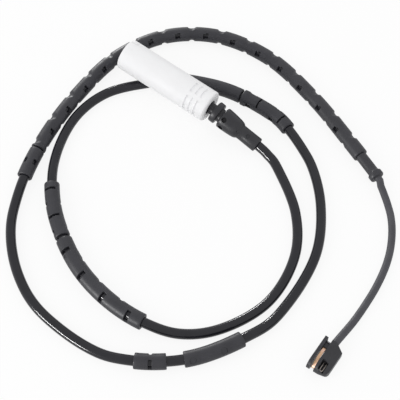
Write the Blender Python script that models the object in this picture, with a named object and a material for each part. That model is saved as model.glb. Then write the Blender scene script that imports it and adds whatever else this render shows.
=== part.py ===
"""Brake pad wear sensor: a round plug, a sleeved lead laid in a spiral and a clip-on sensor head.

Sizes are in millimetres and become metres where a mesh is made.  +Z is up and the lead lies on
the plane z = 0.  The plug points along -X, and the head's slot runs along Y.
"""

import math

import bmesh
import bpy
from mathutils import Matrix, Vector

MM = 0.001
SEAT_GAP = 0.3
EDGE_BREAK = 0.4
CUTTER_OVERRUN = 1.0

# Lead
CABLE_DIAMETER = 5.0
CABLE_STEP = 15.0
TAIL_DIAMETER = 3.7
TAIL_STEP = 9.0
ROUTE_SUBSTEPS = 40
LEVEL_OVERRUN = 1.5
RISE_LENGTH = 16.0
TAIL_RISE_LENGTH = 19.0
TANGENT_REACH = 0.5

# The lead's middle line from the boot to the collar, seen from above.
ROUTE = [
    (2.0, 39.8), (8.7, 38.4), (17.5, 34.8), (38.7, 18.4), (51.9, -3.5), (54.1, -31.0),
    (42.2, -56.2), (23.4, -70.0), (-2.4, -73.3), (-30.3, -67.3), (-56.3, -51.8),
    (-73.9, -32.5), (-82.6, -14.2), (-85.5, 4.5), (-81.2, 22.6), (-69.0, 38.2),
    (-56.1, 48.9), (-30.3, 58.9), (-3.5, 60.3), (12.3, 55.8),
    (30.6, 46.1), (47.5, 28.0), (59.5, 3.9), (62.3, -25.3), (57.7, -47.6),
    (39.0, -76.7), (9.2, -95.2), (-26.5, -96.3), (-51.3, -86.9), (-71.8, -67.9),
    (-83.6, -42.8), (-90.4, -15.3), (-92.8, 12.9), (-90.8, 42.2), (-78.2, 68.7),
    (-54.5, 85.7), (-23.3, 89.5), (9.9, 80.9), (38.5, 69.0), (61.4, 58.6),
]

# The thin tail from the collar to the head.
TAIL_ROUTE = [
    (61.4, 58.6), (73.4, 49.0), (80.4, 41.1), (86.1, 30.9), (89.8, 20.2),
    (91.9, 8.0), (92.6, -3.9), (92.5, -16.1), (91.5, -30.8),
]

# Sleeves moulded on the lead; a start is a length along the lead from the boot.
SLEEVE_DIAMETER = 7.7
SLEEVE_BORE_CLEARANCE = 0.4
SLEEVE_SIDES = 16
SLEEVE_CHAMFER = 0.35
SLEEVE_JOINT_GAP = 1.0
CLOSEST_RINGS = 0.9
WINDOW_LENGTH = 3.0
WINDOW_CELLS = 2
SLOT_CELLS = 5

LOWER_LEFT_START = 160.0
LOWER_LEFT_LENGTH = 59.8
LOWER_LEFT_DIAMETER = 8.1
LOWER_LEFT_PITCH = 15.1
LOWER_LEFT_FIRST_SLOT = 7.3
LOWER_LEFT_SLOT_LENGTH = 2.2
LOWER_LEFT_SLOTS = 4
LOWER_LEFT_TURN = -48.0

UPPER_LEFT_GAP = 1.8
UPPER_LEFT_LENGTH = 31.0
UPPER_LEFT_PITCH = 15.6
UPPER_LEFT_FIRST_SLOT = 11.2
UPPER_LEFT_SLOT_LENGTH = 2.0
UPPER_LEFT_SLOTS = 2
UPPER_LEFT_TURN = -21.0

PLAIN_START = 358.4
PLAIN_LENGTH = 32.9

UPPER_MID_LENGTH = 30.6
UPPER_MID_PITCH = 15.1
UPPER_MID_FIRST_SLOT = 10.0
UPPER_MID_SLOT_LENGTH = 1.0
UPPER_MID_SLOTS = 2
UPPER_MID_TURN = 10.0
RING_LENGTH = 2.8
RING_PROUD = 0.35
RING_FLANK = 0.4

LOWER_RIGHT_START = 557.3
LOWER_RIGHT_LENGTH = 28.9
DIMPLES = 2
DIMPLE_DIAMETER = 3.4
DIMPLE_DEPTH = 0.45
DIMPLE_PITCH = 14.6
DIMPLE_FIRST = 10.5
DIMPLE_TURN = 10.0

CLIP_GAP = 8.1
CLIP_LENGTH = 14.9
CLIP_SLOT_LENGTH = 1.7
CLIP_TURN = 25.0

OUTER_LEFT_START = 739.9
OUTER_LEFT_LENGTH = 16.3

LONG_LENGTH = 235.8
LONG_PITCH = 15.85
LONG_FIRST_NOTCH = 3.0
LONG_NOTCHES = 15
LONG_TURN = 48.0

# Neck and collar where the lead becomes thinner
COLLAR_SIDES = 24
NECK_DIAMETER = 5.7
NECK_LENGTH = 11.8
COLLAR_DIAMETER = 7.4
COLLAR_LENGTH = 3.2
COLLAR_EAR_WIDTH = 5.2
COLLAR_WAIST_DIAMETER = 6.3

# Plug
PLUG_DIAMETER = 16.8
PLUG_LENGTH = 53.6
PLUG_REAR_X = -28.4
PLUG_REAR_Y = 41.2
PLUG_SLOPE = 5.0
PLUG_SIDES = 48
PLUG_REST_CLEARANCE = 0.4
REST_SAMPLES = 12
SOCKET_DEPTH = 23.0
SOCKET_WALL = 1.5
CHAMBER_WALL = 2.2
REAR_WALL = 3.0
PLUG_CHAMFER = 0.6
MOUTH_CHAMFER = 0.3
GRIP_GROOVES = 3
GRIP_PITCH = 3.1
GRIP_WIDTH = 1.2
GRIP_DEPTH = 0.7
GRIP_START = 4.2
GRIP_BAND = 110.0
GRIP_TURN = 30.0
KEYWAY_LENGTH = 5.0
KEYWAY_WIDTH = 3.0
KEYWAY_DEPTH = 1.0
CARRIER_LENGTH = 5.0
CARRIER_SIDES = 32
PIN_DIAMETER = 2.0
PIN_SIDES = 16
PIN_SPACING = 5.4
PIN_REACH = 13.0
PIN_CLEARANCE = 0.3
BARREL_DIAMETER = 2.6
BARREL_LENGTH = 6.0
BARREL_TAPER = 0.6
CORE_DIAMETER = 1.5
CORE_STEPS = 10

# Rubber boot behind the plug; lengths run back from the plug's rear face.
BOOT_NECK_DIAMETER = 6.0
BOOT_NECK_INSERT = 4.0
BOOT_NECK_CLEARANCE = 0.9
DISC_START = 3.6
DISC_LENGTH = 2.6
DISC_DIAMETER = 11.4
GROOVE_LENGTH = 1.8
GROOVE_DIAMETER = 7.4
BODY_DIAMETER = 11.4
BODY_WAIST_DIAMETER = 8.6
BODY_LENGTH = 11.4
BODY_SHOULDER = 0.7
BODY_CROWN_LENGTH = 5.1
BODY_CROWN_DIAMETER = 10.7
BODY_STEP_LENGTH = 0.5
BOOT_TAIL_DIAMETER = 7.8
BOOT_SIDES = 32
VENT_DIAMETER = 2.0
VENT_DEPTH = 2.4
VENT_SETBACK = 2.4
VENT_TURNS = (35.0, -40.0)
BOOT_BORE_DEPTH = 1.8
BOOT_BORE_CLEARANCE = 0.6
CABLE_START_GAP = 0.9

# Sensor head
HEAD_REAR_Y = -31.1
HEAD_X = 86.4
HEAD_LENGTH = 16.5
HEAD_HEIGHT = 8.0
HEAD_NOSE_RADIUS = 3.9
PLATE_THICKNESS = 1.6
HEAD_SLOT = 2.2
BLOCK_FLAT = 2.3
BLOCK_SLOPE_WIDTH = 4.3
BLOCK_EDGE_HEIGHT = 4.0
BLOCK_EDGE_SETBACK = 1.6
BRIDGE_LENGTH = 4.2
BRIDGE_HEIGHT = 4.6
BRIDGE_SETBACK = 0.4
BRIDGE_ROOT = 0.5
POCKET_LENGTH = 5.2
POCKET_WIDTH = 3.0
POCKET_FLOOR = 3.2
POCKET_INSET = 1.4
POCKET_NOSE_WALL = 1.0
LOOP_WIRE_DIAMETER = 0.9
LOOP_CHANNEL_CLEARANCE = 0.3
LOOP_END_SETBACK = 0.7
LEAF_THICKNESS = 0.4
LEAF_BOW = 1.6
LEAF_LENGTH = 13.0
LEAF_NOSE_DROP = 2.4
LEAF_SEAT_LENGTH = 2.2
LEAF_STEPS = 12
RETAINING_PIN_DIAMETER = 0.8
RETAINING_PIN_SETBACK = 1.2
TAIL_ENTRY_HEIGHT = 4.2

COLOURS = {
    "cable_black": ((0.035, 0.035, 0.042), 0.25, 0.0),
    "sleeve_rubber": ((0.055, 0.055, 0.065), 0.55, 0.0),
    "tail_grey": ((0.09, 0.09, 0.105), 0.6, 0.0),
    "plug_white": ((0.86, 0.86, 0.86), 0.45, 0.0),
    "head_plastic": ((0.05, 0.05, 0.058), 0.45, 0.0),
    "contact_brass": ((0.72, 0.52, 0.22), 0.3, 1.0),
    "spring_bronze": ((0.66, 0.42, 0.27), 0.35, 1.0),
    "core_insulation": ((0.12, 0.12, 0.13), 0.5, 0.0),
    "loop_copper": ((0.75, 0.42, 0.28), 0.35, 1.0),
    "pin_steel": ((0.6, 0.6, 0.62), 0.3, 1.0),
}


# Sizes that follow from the ones above

CABLE_RADIUS = CABLE_DIAMETER / 2
TAIL_RADIUS = TAIL_DIAMETER / 2
SLEEVE_RADIUS = SLEEVE_DIAMETER / 2
PLUG_RADIUS = PLUG_DIAMETER / 2
SOCKET_RADIUS = PLUG_RADIUS - SOCKET_WALL
CHAMBER_RADIUS = PLUG_RADIUS - CHAMBER_WALL
BOOT_TAIL_RADIUS = BOOT_TAIL_DIAMETER / 2
UPPER_LEFT_START = LOWER_LEFT_START + LOWER_LEFT_LENGTH + UPPER_LEFT_GAP
UPPER_LEFT_END = UPPER_LEFT_START + UPPER_LEFT_LENGTH
UPPER_MID_START = PLAIN_START + PLAIN_LENGTH + SLEEVE_JOINT_GAP
UPPER_MID_END = UPPER_MID_START + UPPER_MID_LENGTH
CLIP_START = LOWER_RIGHT_START + LOWER_RIGHT_LENGTH + CLIP_GAP
CLIP_END = CLIP_START + CLIP_LENGTH
LONG_START = OUTER_LEFT_START + OUTER_LEFT_LENGTH + SLEEVE_JOINT_GAP
LONG_END = LONG_START + LONG_LENGTH
COLLAR_START = LONG_END + NECK_LENGTH
COLLAR_END = COLLAR_START + COLLAR_LENGTH
CARRIER_REAR = PLUG_LENGTH - SOCKET_DEPTH - CARRIER_LENGTH
BLOCK_X = HEAD_X + PLATE_THICKNESS + HEAD_SLOT
HEAD_FRONT_Y = HEAD_REAR_Y - HEAD_LENGTH


# Scene and mesh helpers

def clear_scene():
    for obj in list(bpy.data.objects):
        bpy.data.objects.remove(obj, do_unlink=True)


def material(name):
    found = bpy.data.materials.get(name)
    if found:
        return found
    colour, roughness, metallic = COLOURS[name]
    made = bpy.data.materials.new(name)
    made.use_nodes = True
    shader = made.node_tree.nodes["Principled BSDF"]
    shader.inputs["Base Color"].default_value = (*colour, 1.0)
    shader.inputs["Roughness"].default_value = roughness
    shader.inputs["Metallic"].default_value = metallic
    return made


def mesh_object(name, bm, material_name, matrix=None, smooth_angle=35.0):
    """Finish a mesh that is written in millimetres and put it in the scene."""
    bmesh.ops.recalc_face_normals(bm, faces=bm.faces)
    bm.transform(Matrix.Scale(MM, 4))
    mesh = bpy.data.meshes.new(name)
    bm.to_mesh(mesh)
    bm.free()
    mesh.shade_smooth()
    mesh.set_sharp_from_angle(angle=math.radians(smooth_angle))
    mesh.materials.append(material(material_name))
    obj = bpy.data.objects.new(name, mesh)
    bpy.context.scene.collection.objects.link(obj)
    if matrix:
        obj.matrix_world = matrix
    return obj


def cut(target, cutter):
    """Take a closed cutter away from the target."""
    cutter.hide_render = True
    cutter.display_type = "WIRE"
    modifier = target.modifiers.new("cut_" + cutter.name, "BOOLEAN")
    modifier.operation = "DIFFERENCE"
    modifier.solver = "EXACT"
    modifier.object = cutter
    return target


def placed(matrix):
    """The same placement with its offset in metres."""
    result = matrix.copy()
    result.translation = matrix.translation * MM
    return result


def turned(profile, sides, closed=False):
    """A solid of revolution about X from (x, radius) points; a closed profile gives a tube."""
    bm = bmesh.new()
    rings = []
    for x, radius in profile:
        if radius == 0:
            rings.append([bm.verts.new((x, 0, 0))])
            continue
        ring = []
        for k in range(sides):
            angle = math.tau * k / sides
            ring.append(bm.verts.new((x, radius * math.cos(angle), radius * math.sin(angle))))
        rings.append(ring)
    pairs = list(zip(rings, rings[1:]))
    if closed:
        pairs.append((rings[-1], rings[0]))
    for ring_a, ring_b in pairs:
        for k in range(sides):
            n = (k + 1) % sides
            if len(ring_a) == 1:
                bm.faces.new((ring_a[0], ring_b[k], ring_b[n]))
            elif len(ring_b) == 1:
                bm.faces.new((ring_a[k], ring_b[0], ring_a[n]))
            else:
                bm.faces.new((ring_a[k], ring_b[k], ring_b[n], ring_a[n]))
    return bm


def rod(start, end, radius, sides):
    """A round rod about X."""
    return turned([(start, 0), (start, radius), (end, radius), (end, 0)], sides)


def lofted(sections):
    """Join closed sections with as many points each, and cap both ends."""
    bm = bmesh.new()
    loops = [[bm.verts.new(point) for point in section] for section in sections]
    for loop_a, loop_b in zip(loops, loops[1:]):
        for k in range(len(loop_a)):
            n = (k + 1) % len(loop_a)
            bm.faces.new((loop_a[k], loop_a[n], loop_b[n], loop_b[k]))
    bm.faces.new(list(reversed(loops[0])))
    bm.faces.new(loops[-1])
    return bm


def joined(parts):
    """Put several separate meshes into one."""
    bm = bmesh.new()
    for part in parts:
        mesh = bpy.data.meshes.new("part")
        part.to_mesh(mesh)
        part.free()
        bm.from_mesh(mesh)
        bpy.data.meshes.remove(mesh)
    return bm


def arc(centre, radius, start, end, steps):
    """Points of an arc in a plane, with the angles in degrees."""
    points = []
    for k in range(steps + 1):
        angle = math.radians(start + (end - start) * k / steps)
        points.append((centre[0] + radius * math.cos(angle), centre[1] + radius * math.sin(angle)))
    return points


# The lead's route

def smooth_line(points):
    """A smooth curve through the points, as closely spaced points."""
    line = [Vector(p) for p in points]
    line = [2 * line[0] - line[1]] + line + [2 * line[-1] - line[-2]]
    result = []
    for a, b, c, d in zip(line, line[1:], line[2:], line[3:]):
        for k in range(ROUTE_SUBSTEPS):
            t = k / ROUTE_SUBSTEPS
            bend = (2 * a - 5 * b + 4 * c - d) * t + (3 * b - a - 3 * c + d) * t * t
            result.append(0.5 * (2 * b + (c - a) * t + bend * t))
    result.append(line[-2])
    return result


class Path:
    """A flat smooth curve that is read by its length, with a height rule of its own."""

    def __init__(self, points, height, step):
        self.line = smooth_line(points)
        self.lengths = [0.0]
        for a, b in zip(self.line, self.line[1:]):
            self.lengths.append(self.lengths[-1] + (b - a).length)
        self.total = self.lengths[-1]
        self.height = height
        self.step = step

    def on_curve(self, station):
        station = min(max(station, 0.0), self.total)
        k = 1
        while self.lengths[k] < station and k < len(self.lengths) - 1:
            k += 1
        share = (station - self.lengths[k - 1]) / (self.lengths[k] - self.lengths[k - 1])
        flat = self.line[k - 1].lerp(self.line[k], share)
        return Vector((flat.x, flat.y, self.height(station)))

    def stations(self, start, end):
        """Even stations between two places, with both ends."""
        count = max(1, round((end - start) / self.step))
        return [start + (end - start) * k / count for k in range(count + 1)]

    def tangent(self, station):
        ahead = self.on_curve(station + TANGENT_REACH)
        return (ahead - self.on_curve(station - TANGENT_REACH)).normalized()


class Chain:
    """The straight runs between a cable's corner points, which what grips it follows."""

    def __init__(self, path, marks):
        self.path = path
        self.corners = [marks[0]]
        for start, end in zip(marks, marks[1:]):
            self.corners += path.stations(start, end)[1:]
        self.points = [path.on_curve(s) for s in self.corners]

    def at(self, station):
        if station <= self.corners[0] or station >= self.corners[-1]:
            return self.path.on_curve(station)
        k = 1
        while self.corners[k] < station:
            k += 1
        share = (station - self.corners[k - 1]) / (self.corners[k] - self.corners[k - 1])
        return self.points[k - 1].lerp(self.points[k], share)


def ease(share):
    share = min(max(share, 0.0), 1.0)
    return share * share * (3 - 2 * share)


def level_spans():
    """Start, end and radius of each stretch that its sleeves hold level above the floor."""
    widest = max(LOWER_LEFT_DIAMETER, SLEEVE_DIAMETER) / 2
    return [
        (LOWER_LEFT_START, UPPER_LEFT_END, widest),
        (PLAIN_START, UPPER_MID_END, SLEEVE_RADIUS + RING_PROUD),
        (LOWER_RIGHT_START, CLIP_END, SLEEVE_RADIUS),
        (OUTER_LEFT_START, COLLAR_END, SLEEVE_RADIUS),
    ]


def cable_height(station):
    lift = (BOOT_TAIL_RADIUS - CABLE_RADIUS) * (1 - ease(station / RISE_LENGTH))
    for start, end, radius in level_spans():
        away = max(start - station, station - end) - LEVEL_OVERRUN
        lift = max(lift, (radius - CABLE_RADIUS) * (1 - ease(away / RISE_LENGTH)))
    return CABLE_RADIUS + lift


def cable_marks():
    """Where the cable's corners have to lie: its ends and the ends of the level stretches."""
    marks = [CABLE_RADIUS]
    for start, end, radius in level_spans():
        marks += [start - LEVEL_OVERRUN, end + LEVEL_OVERRUN]
    marks[-1] = CABLE_END
    return marks


def tail_height(station):
    leaving = (SLEEVE_RADIUS - TAIL_RADIUS) * (1 - ease(station / TAIL_RISE_LENGTH))
    left_over = TAIL_FLAT_LENGTH - station
    entering = (TAIL_ENTRY_HEIGHT - TAIL_RADIUS) * (1 - ease(left_over / TAIL_RISE_LENGTH))
    return TAIL_RADIUS + leaving + entering


def flat_height(station):
    return 0.0


CABLE_PATH = Path(ROUTE, cable_height, CABLE_STEP)
CABLE_END = min(LONG_END, CABLE_PATH.total)
CABLE_CHAIN = Chain(CABLE_PATH, cable_marks())
TAIL_FLAT_LENGTH = Path(TAIL_ROUTE, flat_height, TAIL_STEP).total
TAIL_PATH = Path(TAIL_ROUTE, tail_height, TAIL_STEP)


def cable_object(name, points, radius, resolution, material_name):
    """A round cable as a bevelled curve with closed ends."""
    data = bpy.data.curves.new(name, "CURVE")
    data.dimensions = "3D"
    spline = data.splines.new("POLY")
    spline.points.add(len(points) - 1)
    for target, point in zip(spline.points, points):
        target.co = (*(point * MM), 1.0)
    data.bevel_depth = radius * MM
    data.bevel_resolution = resolution
    data.use_fill_caps = True
    data.materials.append(material(material_name))
    obj = bpy.data.objects.new(name, data)
    bpy.context.scene.collection.objects.link(obj)
    return obj


# Sleeves

class Opening:
    """A window through a sleeve's wall, and the one opposite it."""

    def __init__(self, middle, length, turn, cells):
        self.start = middle - length / 2
        self.end = middle + length / 2
        self.turn = turn
        self.half_width = cells * 180.0 / SLEEVE_SIDES

    def holds(self, station, angle):
        if not self.start < station < self.end:
            return False
        away = (angle - self.turn + 90.0) % 180.0 - 90.0
        return abs(away) < self.half_width


def cross_section_axes(tangent):
    side = tangent.cross(Vector((0, 0, 1))).normalized()
    return side, side.cross(tangent).normalized()


def sleeve(name, start, length, diameter=SLEEVE_DIAMETER, openings=(), turn=0.0, steps=()):
    """A moulded tube on the lead whose wall is left out where it has windows.

    A window's turn is measured from straight up towards the spiral's inside.  Steps are
    (start, end, change of radius) bands such as a raised ring.
    """
    end = start + length
    marks = {start, start + SLEEVE_CHAMFER, end - SLEEVE_CHAMFER, end}
    for opening in openings:
        marks.update((opening.start, opening.end))
    flank = RING_FLANK / 2
    for band_start, band_end, change in steps:
        marks.update((band_start - flank, band_start + flank, band_end - flank, band_end + flank))
    marks = {m for m in marks if start <= m <= end}
    for corner in CABLE_CHAIN.corners:
        if start < corner < end and min(abs(corner - m) for m in marks) > CLOSEST_RINGS:
            marks.add(corner)
    rings = sorted(marks)

    def outer_radius(station):
        radius = diameter / 2
        if station in (start, end):
            radius -= SLEEVE_CHAMFER
        for band_start, band_end, change in steps:
            if band_start < station < band_end:
                radius += change
        return radius

    bore_radius = (CABLE_RADIUS + SLEEVE_BORE_CLEARANCE) / math.cos(math.pi / SLEEVE_SIDES)
    cell = 360.0 / SLEEVE_SIDES
    bm = bmesh.new()
    outer, inner = [], []
    for station in rings:
        centre = CABLE_CHAIN.at(station)
        side, up = cross_section_axes(CABLE_PATH.tangent(station))
        outer_ring, inner_ring = [], []
        for k in range(SLEEVE_SIDES):
            angle = math.radians(turn + cell * (k + 0.5))
            spoke = side * math.sin(angle) + up * math.cos(angle)
            outer_ring.append(bm.verts.new(centre + spoke * outer_radius(station)))
            inner_ring.append(bm.verts.new(centre + spoke * bore_radius))
        outer.append(outer_ring)
        inner.append(inner_ring)

    def solid(i, k):
        if not 0 <= i < len(rings) - 1:
            return False
        station = (rings[i] + rings[i + 1]) / 2
        angle = turn + cell * (k + 1)
        return not any(opening.holds(station, angle) for opening in openings)

    for i in range(len(rings) - 1):
        for k in range(SLEEVE_SIDES):
            if not solid(i, k):
                continue
            n = (k + 1) % SLEEVE_SIDES
            bm.faces.new((outer[i][k], outer[i][n], outer[i + 1][n], outer[i + 1][k]))
            bm.faces.new((inner[i][k], inner[i + 1][k], inner[i + 1][n], inner[i][n]))
            if not solid(i - 1, k):
                bm.faces.new((outer[i][k], inner[i][k], inner[i][n], outer[i][n]))
            if not solid(i + 1, k):
                bm.faces.new((outer[i + 1][k], outer[i + 1][n], inner[i + 1][n], inner[i + 1][k]))
            if not solid(i, (k - 1) % SLEEVE_SIDES):
                bm.faces.new((outer[i][k], outer[i + 1][k], inner[i + 1][k], inner[i][k]))
            if not solid(i, n):
                bm.faces.new((outer[i][n], inner[i][n], inner[i + 1][n], outer[i + 1][n]))
    loose = [v for v in bm.verts if not v.link_faces]
    bmesh.ops.delete(bm, geom=loose, context="VERTS")
    return mesh_object(name, bm, "sleeve_rubber")


def slots(first, pitch, count, length, turn, cells):
    return [Opening(first + pitch * k, length, turn, cells) for k in range(count)]


def build_lower_left_sleeve():
    first = LOWER_LEFT_START + LOWER_LEFT_FIRST_SLOT
    openings = slots(first, LOWER_LEFT_PITCH, LOWER_LEFT_SLOTS, LOWER_LEFT_SLOT_LENGTH,
                     LOWER_LEFT_TURN, SLOT_CELLS)
    openings += slots(first + LOWER_LEFT_PITCH / 2, LOWER_LEFT_PITCH, LOWER_LEFT_SLOTS - 1,
                      LOWER_LEFT_SLOT_LENGTH, LOWER_LEFT_TURN + 90, 1)
    sleeve("lower_left_sleeve", LOWER_LEFT_START, LOWER_LEFT_LENGTH, LOWER_LEFT_DIAMETER,
           openings, LOWER_LEFT_TURN)


def build_upper_left_sleeve():
    first = UPPER_LEFT_START + UPPER_LEFT_FIRST_SLOT
    openings = slots(first, UPPER_LEFT_PITCH, UPPER_LEFT_SLOTS, UPPER_LEFT_SLOT_LENGTH,
                     UPPER_LEFT_TURN, SLOT_CELLS)
    openings += slots(first - UPPER_LEFT_PITCH / 2, UPPER_LEFT_PITCH, UPPER_LEFT_SLOTS,
                      UPPER_LEFT_SLOT_LENGTH, UPPER_LEFT_TURN + 90, WINDOW_CELLS + 1)
    sleeve("upper_left_sleeve", UPPER_LEFT_START, UPPER_LEFT_LENGTH, openings=openings,
           turn=UPPER_LEFT_TURN)


def build_upper_sleeves():
    sleeve("upper_plain_sleeve", PLAIN_START, PLAIN_LENGTH)
    first = UPPER_MID_START + UPPER_MID_FIRST_SLOT
    openings = slots(first, UPPER_MID_PITCH, UPPER_MID_SLOTS, UPPER_MID_SLOT_LENGTH,
                     UPPER_MID_TURN, SLOT_CELLS)
    openings += slots(first - UPPER_MID_PITCH / 3, UPPER_MID_PITCH, UPPER_MID_SLOTS,
                      WINDOW_LENGTH, UPPER_MID_TURN + 90, WINDOW_CELLS + 1)
    ring = (UPPER_MID_START - RING_FLANK, UPPER_MID_START + RING_LENGTH, RING_PROUD)
    sleeve("upper_mid_sleeve", UPPER_MID_START, UPPER_MID_LENGTH, openings=openings,
           turn=UPPER_MID_TURN, steps=[ring])


def build_lower_right_sleeve():
    body = sleeve("lower_right_sleeve", LOWER_RIGHT_START, LOWER_RIGHT_LENGTH)
    dimples = []
    for k in range(DIMPLES):
        station = LOWER_RIGHT_START + DIMPLE_FIRST + DIMPLE_PITCH * k
        side, up = cross_section_axes(CABLE_PATH.tangent(station))
        angle = math.radians(DIMPLE_TURN)
        spoke = side * math.sin(angle) + up * math.cos(angle)
        bottom = CABLE_CHAIN.at(station) + spoke * (SLEEVE_RADIUS - DIMPLE_DEPTH)
        peg = rod(0, DIMPLE_DEPTH + CUTTER_OVERRUN, DIMPLE_DIAMETER / 2, PIN_SIDES)
        aim = spoke.to_track_quat("X", "Z").to_matrix().to_4x4()
        peg.transform(Matrix.Translation(bottom) @ aim)
        dimples.append(peg)
    cut(body, mesh_object("dimple_cutter", joined(dimples), "sleeve_rubber"))


def build_clip_sleeve():
    middle = CLIP_START + CLIP_LENGTH / 2
    opening = Opening(middle, CLIP_SLOT_LENGTH, CLIP_TURN, SLOT_CELLS)
    sleeve("clip_sleeve", CLIP_START, CLIP_LENGTH, openings=[opening], turn=CLIP_TURN)


def build_outer_left_sleeve():
    middle = OUTER_LEFT_START + OUTER_LEFT_LENGTH / 2
    openings = [Opening(middle, WINDOW_LENGTH, LONG_TURN, WINDOW_CELLS),
                Opening(middle, WINDOW_LENGTH, LONG_TURN + 90, WINDOW_CELLS)]
    sleeve("outer_left_sleeve", OUTER_LEFT_START, OUTER_LEFT_LENGTH, openings=openings,
           turn=LONG_TURN + 180.0 / SLEEVE_SIDES)


def build_long_sleeve():
    first = LONG_START + LONG_FIRST_NOTCH
    openings = slots(first, LONG_PITCH, LONG_NOTCHES, WINDOW_LENGTH, LONG_TURN + 90, WINDOW_CELLS)
    openings += slots(first + LONG_PITCH / 2, LONG_PITCH, LONG_NOTCHES - 1, WINDOW_LENGTH,
                      LONG_TURN, WINDOW_CELLS)
    sleeve("long_sleeve", LONG_START, LONG_LENGTH, openings=openings,
           turn=LONG_TURN + 180.0 / SLEEVE_SIDES)


# Neck and collar

def build_transition_collar():
    """One moulding: a short neck after the long sleeve, ending in a collar with two flat sides."""
    start = LONG_END + SEAT_GAP
    neck, collar = NECK_DIAMETER / 2, COLLAR_DIAMETER / 2
    marks = [
        (start, neck, False),
        ((start + COLLAR_START) / 2, neck, False),
        (COLLAR_START - EDGE_BREAK, neck, False),
        (COLLAR_START + EDGE_BREAK, collar, True),
        (COLLAR_END - EDGE_BREAK, collar, True),
        (COLLAR_END, collar - EDGE_BREAK, True),
    ]
    sections = []
    for station, radius, eared in marks:
        centre = past_end(station)
        side, up = cross_section_axes(CABLE_PATH.tangent(min(station, CABLE_PATH.total - 1)))
        section = []
        for k in range(COLLAR_SIDES):
            angle = math.tau * (k + 0.5) / COLLAR_SIDES
            across = radius * math.sin(angle)
            high = radius * math.cos(angle)
            if eared and abs(across) < COLLAR_EAR_WIDTH / 2:
                limit = COLLAR_WAIST_DIAMETER / 2
                high = math.copysign(min(abs(high), limit), high)
            section.append(centre + side * across + up * high)
        sections.append(section)
    mesh_object("transition_collar", lofted(sections), "sleeve_rubber")


def past_end(station):
    """A place on the lead, or straight on past its end."""
    over = station - CABLE_PATH.total
    if over <= 0:
        return CABLE_PATH.on_curve(station)
    last = CABLE_PATH.on_curve(CABLE_PATH.total)
    return last + CABLE_PATH.tangent(CABLE_PATH.total - 1) * over


# Plug

def lead_radius(station):
    for start, end, radius in level_spans():
        if start <= station <= end:
            return radius
    return CABLE_RADIUS


def plug_rear():
    """The middle of the plug's rear face, with the plug lying on the lead's second turn."""
    slope = math.radians(PLUG_SLOPE)
    height = PLUG_RADIUS
    corners = list(zip(CABLE_CHAIN.corners, CABLE_CHAIN.corners[1:]))
    for start, end in corners:
        for k in range(REST_SAMPLES):
            station = start + (end - start) * k / REST_SAMPLES
            place = CABLE_CHAIN.at(station)
            reach = PLUG_RADIUS + lead_radius(station) + PLUG_REST_CLEARANCE
            across = abs(place.y - PLUG_REAR_Y)
            ahead = PLUG_REAR_X - place.x
            if across < reach and 0 < ahead < PLUG_LENGTH:
                over = math.sqrt(reach ** 2 - across ** 2) / math.cos(slope)
                height = max(height, place.z + over - ahead * math.tan(slope))
    return Vector((PLUG_REAR_X, PLUG_REAR_Y, height))


def plug_matrix():
    """X runs from the rear face to the tip and Z is up, square to the slope."""
    slope = math.radians(PLUG_SLOPE)
    forward = Vector((-math.cos(slope), 0, math.sin(slope)))
    up = Vector((math.sin(slope), 0, math.cos(slope)))
    side = up.cross(forward)
    axes = Matrix((forward, side, up)).transposed().to_4x4()
    return Matrix.Translation(plug_rear()) @ axes


def ring_segment(start, length, inner, outer, middle, width):
    """A block of a ring about X, for cutting a groove that stops short of the full turn."""
    steps = 16
    sections = []
    for k in range(steps + 1):
        angle = math.radians(middle - width / 2 + width * k / steps)
        across = Vector((0, math.cos(angle), math.sin(angle)))
        a, b = Vector((start, 0, 0)), Vector((start + length, 0, 0))
        sections.append([a + across * inner, b + across * inner, b + across * outer, a + across * outer])
    return lofted(sections)


def build_plug_housing(frame):
    entry = BOOT_NECK_DIAMETER / 2 + BOOT_NECK_CLEARANCE
    profile = [
        (0, PLUG_RADIUS - PLUG_CHAMFER), (PLUG_CHAMFER, PLUG_RADIUS),
        (PLUG_LENGTH - PLUG_CHAMFER, PLUG_RADIUS), (PLUG_LENGTH, PLUG_RADIUS - PLUG_CHAMFER),
        (PLUG_LENGTH, SOCKET_RADIUS + MOUTH_CHAMFER), (PLUG_LENGTH - MOUTH_CHAMFER, SOCKET_RADIUS),
        (CARRIER_REAR, SOCKET_RADIUS), (CARRIER_REAR, CHAMBER_RADIUS),
        (REAR_WALL, CHAMBER_RADIUS), (REAR_WALL, entry), (0, entry),
    ]
    housing = mesh_object("plug_housing", turned(profile, PLUG_SIDES, closed=True), "plug_white",
                          placed(frame))
    outside = PLUG_RADIUS + CUTTER_OVERRUN
    grooves = []
    for k in range(GRIP_GROOVES):
        start = GRIP_START + GRIP_PITCH * k
        for middle in (GRIP_TURN, GRIP_TURN + 180):
            grooves.append(ring_segment(start, GRIP_WIDTH, PLUG_RADIUS - GRIP_DEPTH, outside,
                                        middle, GRIP_BAND))
    cut(housing, mesh_object("grip_cutter", joined(grooves), "plug_white", placed(frame)))
    keyways = []
    for middle in (GRIP_TURN + 90, GRIP_TURN - 90):
        width = math.degrees(KEYWAY_WIDTH / PLUG_RADIUS)
        keyways.append(ring_segment(PLUG_LENGTH - KEYWAY_LENGTH, KEYWAY_LENGTH + CUTTER_OVERRUN,
                                    PLUG_RADIUS - KEYWAY_DEPTH, outside, middle, width))
    cut(housing, mesh_object("keyway_cutter", joined(keyways), "plug_white", placed(frame)))


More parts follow.
